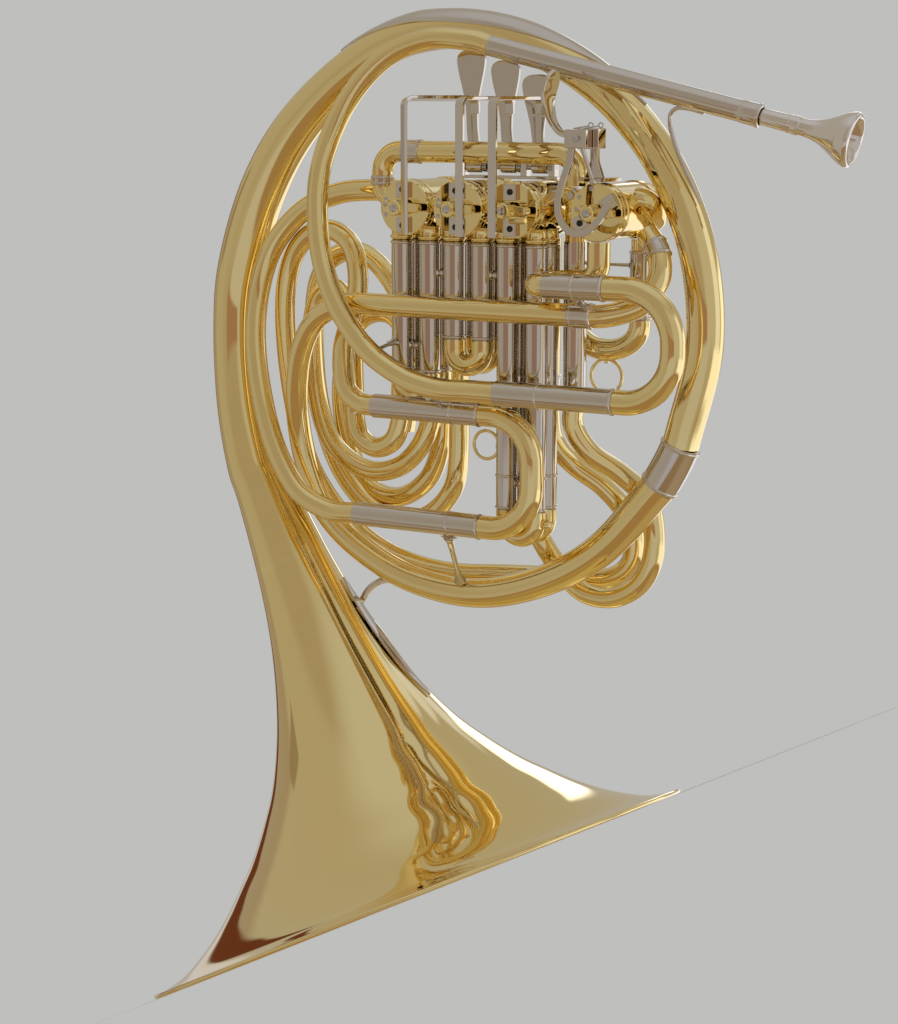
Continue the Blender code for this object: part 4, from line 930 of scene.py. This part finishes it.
def screw_head(where, radius, bm, high=0.9):
    """A slotted round head that faces the front."""
    x, y, z = where
    lathe([(0.05, 0), (0.05, radius), (-high * 0.55, radius), (-high, radius * 0.7), (-high, 0)],
          (x, y, z), (0, 1, 0), 20,
          bm)
    block((x - radius * 0.75, y - high - 0.12, z - 0.14),
          (x + radius * 0.75, y - high + 0.02, z + 0.14), bm)


def make_stop_arm(index):
    x, number = VALVE_X[index], index + 1
    front = CASING_FRONT - 16
    stem_end = CASING_FRONT - 6 - GAP
    back = CASING_FRONT - 7.2
    hub = [(front + 0.9, 0), (front + 0.9, 2.9), (front + 1.1, 3.6), (front + 1.7, 4.1),
           (stem_end, 4.2), (stem_end, 0)]
    body = f"valve_rotor_{number}"
    bm = lathe(hub, (x, 0, VALVE_Z), (0, 1, 0), 40)
    piece(f"stop_hub_{number}", bm, BRASS, body, f"stop_arm_{number}", sharp=30)
    arm = [(2, -2.5), (11.4, -2.1), (12.6, -1.4), (13, 0), (12.6, 1.4), (11.4, 2.1), (2, 2.5)]
    bm = slab([(x + a, VALVE_Z + b) for a, b in arm], back - 4.1, back)
    if index == 2:
        lathe([(0, 0), (0, 1.5), (0.4, 1.9), (9, 1.9), (9.4, 1.5), (9.4, 0)],
              (x + 4.2, back - 6.4, VALVE_Z - 4.4), (1, 0, 0), 20, bm)
    piece(f"stop_arm_bar_{number}", bm, BRASS, body, bevel=0.3)
    post = lathe([(front + 1.5, 0), (front + 1.5, 1.3), (front + 1.9, 1.7), (back - 1, 1.7),
                  (back - 1, 0)], (x - 5, 0, VALVE_Z + 2.2), (0, 1, 0), 20)
    piece(f"string_post_{number}", post, BRASS, body)
    bm = bmesh.new()
    screw_head((x, front + 0.95, VALVE_Z), 2.1, bm)
    screw_head((x - 5, front + 1.55, VALVE_Z + 2.2), 1.2, bm, 0.7)
    piece(f"stop_arm_screws_{number}", bm, STEEL, body)


def make_cap(index):
    """The screwed back cap, knurled round its edge."""
    x, number = VALVE_X[index], index + 1
    near, far = CASING_BACK + GAP, CASING_BACK + 5
    outline = [(near, 0), (near, 14.2), (near + 0.3, CAP_RADIUS), (far - 1.2, CAP_RADIUS),
               (far - 0.3, 13.7), (far, 13.2), (far, 9.8), (far - 0.5, 9.2), (far - 1.1, 8.2),
               (far - 1.2, 2.4), (far - 0.7, 1.6), (far - 0.7, 0)]
    bm = lathe(outline, (x, 0, VALVE_Z), (0, 1, 0), 120)
    for vert in bm.verts:
        spoke = Vector((vert.co.x - x, 0, vert.co.z - VALVE_Z))
        if spoke.length > 14.1 and near + 0.2 < vert.co.y < far - 0.9:
            turn = math.atan2(spoke.z, spoke.x)
            vert.co -= spoke.normalized() * (0.35 if round(turn / CAP_STEP) % 2 else 0)
    piece(f"valve_cap_{number}_screw", bm, BRASS, cad=f"valve_cap_{number}", sharp=30)


# ---------------------------------------------------------------- levers

def make_finger_lever(index):
    number, back_x, front_x = index + 1, LEVER_BACK_X[index], LEVER_FRONT_X[index]
    body = f"finger_key_{number}"
    barrel = [(-4.5, 1.9), (-4.5, 3), (-4.2, 3.3), (4.2, 3.3), (4.5, 3), (4.5, 1.9)]
    bm = lathe(barrel, (back_x, HINGE_Y, HINGE_Z), (1, 0, 0), 32)
    piece(f"finger_lever_{number}_barrel", bm, NICKEL, body, f"finger_lever_{number}")
    top = LEAF_TOP[index]
    rise = [(HINGE_Z + 2.6, 2.9), (HINGE_Z + 8, 3.1), (top - 33, 3.1), (top - 26, 3.8),
            (top - 20, 5), (top - 15, 6.2), (top - 10, 7.3), (top - 5, 7.9), (top - 2, 7),
            (top - 0.5, 4.8), (top, 2.4)]
    fine = smooth([(z, w, 0) for z, w in rise], 5)
    climb = [(p.x - HINGE_Z) / (top - HINGE_Z) for p in fine]
    path = [Vector((back_x - 1.6 * min(1, 3 * c) - 3.2 * c, HINGE_Y + 3.2 * c, p.x))
            for p, c in zip(fine, climb)]
    piece(f"finger_leaf_{number}",
          strip(path, [2 * p.y for p in fine], 2.1, (1, 0.12, 0), crown=0.07), NICKEL,
          body, bevel=0.4, sharp=50)
    arm = fillet([(back_x, HINGE_Y - 0.4, LEVER_TOP - 8), (back_x, HINGE_Y - 0.8, LEVER_TOP),
                  (front_x, LEVER_FRONT_Y, LEVER_TOP), (front_x, LEVER_FRONT_Y, 45.5)], [3.5, 4], 8)
    piece(f"finger_arm_{number}", strip(arm, 4.8, 2, (1, 0, 0)), NICKEL, body, bevel=0.35, sharp=50)


def make_hinge():
    low, high = LEVER_BACK_X[0] - 9, LEVER_BACK_X[2] + 9
    bm = lathe([(0, 0), (0, 1.1), (0.4, 1.5), (high - low - 0.4, 1.5), (high - low, 1.1),
                (high - low, 0)], (low, HINGE_Y, HINGE_Z), (1, 0, 0),
               24)
    piece("hinge_rod_bar", bm, STEEL, cad="lever_hinge_rod")
    posts = (low + 1.8, sum(LEVER_BACK_X[:2]) / 2, sum(LEVER_BACK_X[1:]) / 2, high - 1.8)
    bm = block((low - 2, HINGE_Y - 3.5, HINGE_BASE), (high + 2, HINGE_Y + 3.5, HINGE_BASE_TOP))
    for x in posts:
        side = [(x - 1.8, 74.6), (x + 1.8, 74.6), (x + 1.8, HINGE_Z + 1.8), (x + 0.9, HINGE_Z + 3),
                (x - 0.9, HINGE_Z + 3), (x - 1.8, HINGE_Z + 1.8)]
        slab(side, HINGE_Y - 2.4, HINGE_Y + 2.4, bm)
    piece("hinge_posts", bm, NICKEL, bevel=0.3)
    bm = bmesh.new()
    for x in LEVER_BACK_X:
        turns = 5
        coil = []
        for k in range(turns * 16 + 1):
            t = 2 * math.pi * k / 16
            coil.append(Vector((x + 4.9 + 0.55 * k / 16, HINGE_Y + 2.7 * math.cos(t),
                                HINGE_Z + 2.7 * math.sin(t))))
        coil += [Vector((x + 4.9 + 0.55 * turns, HINGE_Y + 3.2, HINGE_Z + 2)),
                 Vector((x + 4.9 + 0.55 * turns, HINGE_Y + 3, HINGE_Z - 4.2))]
        tube(coil, 0.26, 8, None, bm)
    piece("lever_springs", bm, STEEL)


def make_thumb():
    px, pz = THUMB_PIVOT
    y, body = THUMB_Y, "thumb_key"
    bm = block((px - 7, y - 3.5, pz - 4.5), (px + 5, y + 3.5, pz + 4.5))
    piece("thumb_lever_block", bm, NICKEL, body, "thumb_lever", bevel=0.35)
    paddle = smooth([(px - 5.5, y, pz + 1.4), (px - 11, y, pz + 3), (px - 15.5, y - 1, pz + 10),
                     (px - 17, y - 2, pz + 20), (px - 15.5, y - 1, pz + 28),
                     (px - 13.5, y, pz + 33)], 8)
    width = spread((5, 5, 5.4, 6.2, 8, 10.5, 12.8, 14, 13.4, 10.6, 5), len(paddle))
    piece("thumb_spatula", strip(paddle, width, 1.9, (0.45, 1, 0), crown=-0.05), NICKEL, body,
          bevel=0.45,
          sharp=50)
    strap = smooth([(px - 4, y, pz - 2), (px - 5, y - 2, pz - 12), (px - 8, y - 5, pz - 25),
                    (px - 8.5, y - 6, pz - 36), (px - 3, y - 6, pz - 44.5),
                    (px + 6, y - 6, pz - 45.5), (px + 14, y - 6, pz - 39),
                    (px + 20, y - 6, pz - 30)], 8)
    piece("thumb_strap", strip(strap, 1.9, 3.6, (0, 1, 0)), NICKEL, body, bevel=0.35, sharp=50)
    low, high = Vector((px + 6, y + 3, pz - 21)), Vector((px + 0.5, y + 1.5, pz - 4.6))
    piece("thumb_link", ball(low, 1.9, rod(low, high, 1.1)), NICKEL, body)
    bm = block((px - 4, -38.4, pz - 5), (px + 8, -30, pz + 5))
    piece("thumb_saddle_block", bm, NICKEL, cad="thumb_lever_saddle", bevel=0.4)
    foot = [(px + 1, pz - 4), (px + 5, pz - 4), (px + 5, 84), (px + 8, 75.6), (px - 2, 75.6),
            (px + 1, 84)]
    bm = slab(foot, -33.5, -30.4)
    piece("thumb_saddle_post", bm, NICKEL, bevel=0.4)
    piece("thumb_saddle_foot", block((px - 3, -33.5, 73.6), (px + 9, -14, 75.6)), NICKEL, bevel=0.4)
    pin = [(-48, 0), (-48, 1.3), (-47.7, 1.6), (-38, 1.6), (-38, 0)]
    piece("thumb_pivot_pin", lathe(pin, (px, 0, pz), (0, 1, 0), 24), STEEL)
    bm = bmesh.new()
    for reach in (5, 10.5):
        eye = Vector((px + reach, y + 2, pz + 6.6))
        loop_ring(eye, 1.2, 0.34, (1, 0, 0), (0, 0, 1), bm, 24)
        tube([eye + Vector((-1.3, 0, -0.4)), Vector((px + reach - 9.5, y + 2, pz + 4.9))], 0.34, 10,
             None, bm)
    piece("thumb_spring_wires", bm, STEEL, body)


# ---------------------------------------------------------------- hook, braces and rings

LEAF_LIFT = 2.4


def make_hook():
    turn, count = math.radians(12), 40
    path = [bell_point(100 + 80 * k / count, turn,
                       bell_radius(100 + 80 * k / count) + LEAF_LIFT - 1)
            for k in range(count + 1)]
    widths = [1.2 + 8.6 * math.sin(math.pi * k / count) ** 0.8 for k in range(count + 1)]
    across = TURN.transposed() @ Vector((-math.sin(turn), math.cos(turn), 0))
    piece("hook_leaf", strip(path, widths, 1.1, across, crown=0.03), NICKEL, cad="finger_hook",
          bevel=0.3,
          sharp=50)
    foot = bell_point(112, turn, bell_radius(112) + 1.4)
    lift = bell_point(134, turn - 0.06, bell_radius(134) + 3.2)
    hook = smooth([foot, lift, (-59.5, 3, -168.4), (-58.8, 4, -162.2), (-55.3, 6, -156.4),
                   (-49.9, 9, -152.6), (-43.8, 12, -152.2), (-37.1, 14, -153.6),
                   (-32.4, 15, -156.1)], 10)
    last = len(hook) - 1
    width = [1.4 + 2.4 * min(1, 6 * k / last, 3.5 * (last - k) / last + 0.3)
             for k in range(last + 1)]
    piece("hook_finger_rest", tube(hook, [w / 2 for w in width], 24), NICKEL, sharp=60)


def diamond(bm, centre, normal, along, size, wide, thick=0.7):
    """A small four-pointed foot plate."""
    n, a = Vector(normal).normalized(), Vector(along).normalized()
    b = n.cross(a)
    spots = [a * size, b * wide, -a * size, -b * wide]
    rings = []
    for level, share in ((-thick, 1), (0, 0.94), (thick * 0.5, 0.6)):
        ring = []
        for p, q in zip(spots, spots[1:] + spots[:1]):
            for t in (0, 0.5):
                pull = 0.82 if t else 1
                ring.append(bm.verts.new(Vector(centre) + n * level + p.lerp(q, t) * share * pull))
        rings.append(ring)
    skin(bm, rings)


def make_braces():
    top, bottom = Vector((18, -31, -114.2)), Vector((10, -6, -143.2))
    along = (bottom - top).normalized()
    length = (bottom - top).length
    outline = [(0, 0), (0, 3), (1.2, 2.8), (3, 2), (length * 0.35, 1.5), (length * 0.7, 1.3),
               (length - 4, 1.9), (length - 1.6, 3), (length, 3.4), (length, 0)]
    bm = lathe(outline, top, along, 24)
    diamond(bm, top - along * 0.2, -along, (1, 0, 0), 5.2, 2.8)
    diamond(bm, bottom + along * 0.2, along, (1, 0, 0), 5.6, 3.2)
    piece("body_strut", bm, NICKEL, cad="body_brace")
    bm = bmesh.new()
    strut(bm, Vector((14, -45, -38)), Vector((15, -35, -41.6)))
    strut(bm, Vector((-21, -42.5, -16.5)), Vector((-18.8, -26.8, -13)))
    strut(bm, Vector((100, -43.5, 16.6)), Vector((99, -35.5, 12.4)))
    piece("tube_struts", bm, NICKEL)


def strut(bm, start, end):
    along = (end - start).normalized()
    length = (end - start).length
    lathe([(0, 0), (0, 2.2), (length * 0.3, 1), (length * 0.7, 1), (length, 2.2), (length, 0)],
          start,
          along, 16, bm)
    diamond(bm, start, -along, (1, 0, 0), 4.6, 2.4)
    diamond(bm, end, along, (1, 0, 0), 4.6, 2.4)


# ---------------------------------------------------------------- stage

def make_stage():
    """A pale floor that fades out before its edge, and the camera at eye level with it."""
    mat = bpy.data.materials.new("floor")
    mat.use_nodes = True
    tree = mat.node_tree
    link = tree.links.new
    tree.nodes.clear()
    out = tree.nodes.new("ShaderNodeOutputMaterial")
    pale = node(tree, "ShaderNodeBsdfDiffuse", Color=FLOOR_TONE)
    clear = tree.nodes.new("ShaderNodeBsdfTransparent")
    mix = tree.nodes.new("ShaderNodeMixShader")
    spot = tree.nodes.new("ShaderNodeTexCoord").outputs["Object"]
    far = tree.nodes.new("ShaderNodeVectorMath")
    far.operation = "LENGTH"
    link(spot, far.inputs[0])
    fade = node(tree, "ShaderNodeMapRange", From_Min=FADE_FROM, From_Max=FADE_TO)
    fade.interpolation_type = "SMOOTHSTEP"
    link(far.outputs["Value"], fade.inputs["Value"])
    link(fade.outputs["Result"], mix.inputs["Fac"])
    link(pale.outputs["BSDF"], mix.inputs[1])
    link(clear.outputs["BSDF"], mix.inputs[2])
    link(mix.outputs["Shader"], out.inputs["Surface"])
    bm = bmesh.new()
    bmesh.ops.create_circle(bm, cap_ends=True, segments=96, radius=FLOOR_RADIUS)
    mesh = bpy.data.meshes.new("floor")
    bm.to_mesh(mesh)
    bm.free()
    mesh.materials.append(mat)
    floor = bpy.data.objects.new("floor", mesh)
    bpy.context.scene.collection.objects.link(floor)
    floor.visible_glossy = False

    camera = bpy.data.objects.new("camera", bpy.data.cameras.new("camera"))
    camera.data.lens, camera.data.sensor_width, camera.data.sensor_fit = LENS, SENSOR, "AUTO"
    camera.data.clip_start = 0.01
    turn = Matrix(CAMERA_AXES).transposed().to_4x4()
    camera.matrix_world = Matrix.Translation(CAMERA_PLACE) @ turn
    bpy.context.scene.collection.objects.link(camera)
    bpy.context.scene.camera = camera


def make_studio():
    """The room that the metal reflects: panels placed by bearing and height round the horn.

    The camera sees one even tone in its place.
    """
    world = bpy.data.worlds.new("studio")
    world.use_nodes = True
    bpy.context.scene.world = world
    tree = world.node_tree
    link = tree.links.new
    tree.nodes.clear()
    out = tree.nodes.new("ShaderNodeOutputWorld")
    look = tree.nodes.new("ShaderNodeTexCoord").outputs["Generated"]
    axes = []
    for axis in ((1, 0, 0), (0, 1, 0), (0, 0, 1)):
        dot = tree.nodes.new("ShaderNodeVectorMath")
        dot.operation = "DOT_PRODUCT"
        link(look, dot.inputs[0])
        dot.inputs[1].default_value = TURN @ Vector(axis)
        axes.append(dot.outputs["Value"])
    bearing = math_node(tree, "MULTIPLY", math_node(tree, "ARCTAN2", axes[1], axes[0]),
                        180 / math.pi)
    rise = math_node(tree, "MULTIPLY", math_node(tree, "ARCSINE", axes[2]), 180 / math.pi)

    colour = ROOM
    for centre, half, soft, level, half_high, soft_high, tint in PANELS:
        away = math_node(tree, "WRAP", math_node(tree, "SUBTRACT", bearing, centre), 180, -180)
        masks = []
        for value, reach, edge in ((math_node(tree, "ABSOLUTE", away), half, soft),
                                   (math_node(tree, "ABSOLUTE",
                                              math_node(tree, "SUBTRACT", rise, level)),
                                    half_high, soft_high)):
            mask = node(tree, "ShaderNodeMapRange", From_Min=reach - edge / 2,
                        From_Max=reach + edge / 2,
                        To_Min=1, To_Max=0)
            mask.interpolation_type = "SMOOTHSTEP"
            link(value, mask.inputs["Value"])
            masks.append(mask.outputs["Result"])
        share = math_node(tree, "MULTIPLY", masks[0], masks[1])
        colour = colour_mix(tree, share, colour, tint)

    room, plain = tree.nodes.new("ShaderNodeBackground"), tree.nodes.new("ShaderNodeBackground")
    link(colour, room.inputs["Color"])
    plain.inputs["Color"].default_value = (*BACKDROP, 1)
    both = tree.nodes.new("ShaderNodeMixShader")
    link(tree.nodes.new("ShaderNodeLightPath").outputs["Is Camera Ray"], both.inputs["Fac"])
    link(room.outputs["Background"], both.inputs[1])
    link(plain.outputs["Background"], both.inputs[2])
    link(both.outputs["Shader"], out.inputs["Surface"])


def make_light(name, bearing, rise, distance, size, watts):
    """A soft square lamp that faces the horn."""
    a, b = math.radians(bearing), math.radians(rise)
    way = TURN @ Vector((math.cos(b) * math.cos(a), math.cos(b) * math.sin(a), math.sin(b)))
    data = bpy.data.lights.new(name, "AREA")
    data.size, data.energy, data.color = size, watts, (1, 0.98, 0.95)
    lamp = bpy.data.objects.new(name, data)
    lamp.location = way * distance + Vector((0, 0, 0.28))
    lamp.rotation_euler = way.to_track_quat("Z", "Y").to_euler()
    lamp.visible_glossy = False
    bpy.context.scene.collection.objects.link(lamp)


# In degrees: bearing from the horn's right, half width, soft edge; height, half height, soft edge.
ROOM = (0.43, 0.40, 0.35)
BACKDROP = (0.52, 0.52, 0.51)
PANELS = (
    (-90, 36, 20, 24, 30, 20, (0.385, 0.335, 0.28)),    # warmer wall, front
    (0, 181, 1, 90, 34, 26, (0.52, 0.52, 0.53)),        # ceiling
    (165, 20, 8, -10, 18, 6, (0.35, 0.30, 0.25)),       # low wall, left back
    (-28, 30, 18, 12, 24, 12, (0.50, 0.48, 0.46)),      # pale wall, right front
    (16, 17, 10, 9, 24, 10, (0.82, 0.83, 0.90)),        # bright blind, right
    (0, 181, 1, -90, 60, 5, (0.33, 0.22, 0.115)),       # wooden floor
    (60, 90, 30, -60, 22, 16, (0.42, 0.32, 0.19)),      # lit floor, right
    (-158, 25, 10, -36, 14, 7, (0.42, 0.38, 0.33)),     # wall that reaches lower, left
    (-68, 30, 10, -18, 11, 6, (0.50, 0.49, 0.52)),      # cool patch low at the front
    (-80, 26, 5, -4.5, 4, 2, (0.33, 0.21, 0.15)),         # brown rail above it
    (-172, 7, 2, 7, 5, 2, (0.29, 0.23, 0.18)),          # box on the left
    (52, 60, 14, -21, 9, 5, (1.05, 1.05, 1.10)),        # bright strip, low right to right back
    (59, 18, 8, -4, 11, 5, (1.12, 1.12, 1.16)),         # bright doorway, right
    (68, 8, 5, 44, 6, 5, (0.66, 0.68, 0.80)),           # three steps of a bright edge
    (80, 8, 5, 33, 6, 5, (0.68, 0.70, 0.84)), (92, 8, 5, 21, 6, 5, (0.70, 0.72, 0.86)),
    (107, 6, 2, 9, 10, 3, (1.9, 1.9, 1.95)),            # window, right back
    (146, 5.5, 2, -2, 13, 2, (0.125, 0.038, 0.017)),      # dark red-brown door, left back
    (136, 5, 3, -9, 5, 3, (0.60, 0.58, 0.60)),          # pale gap beside it
)

make_stage()
make_studio()
make_light("overhead", -110, 68, 2, 1.2, 14)

make_bell()
make_tail()
make_branch()
make_guard()
make_mouthpipe()
make_lead_brace()
make_branches()
make_large_slide("main_slide", MAIN_SLIDE_Y, MAIN_SLIDE_Z, (55, 83), (123, 117), (60, 28), 154,
                 26, (80, 100))
make_large_slide("f_slide", F_SLIDE_Y, F_SLIDE_Z, (-39, -27), (39, 39), (66, 56), 69,
                 24, (20, 22))
make_valve_slides()
make_rear_slide()
for valve in range(4):
    make_valve(valve)
for lever in range(3):
    make_finger_lever(lever)
make_hinge()
make_thumb()
make_hook()
make_braces()

bpy.context.scene.view_settings.view_transform = "Standard"
bpy.context.view_layer.update()
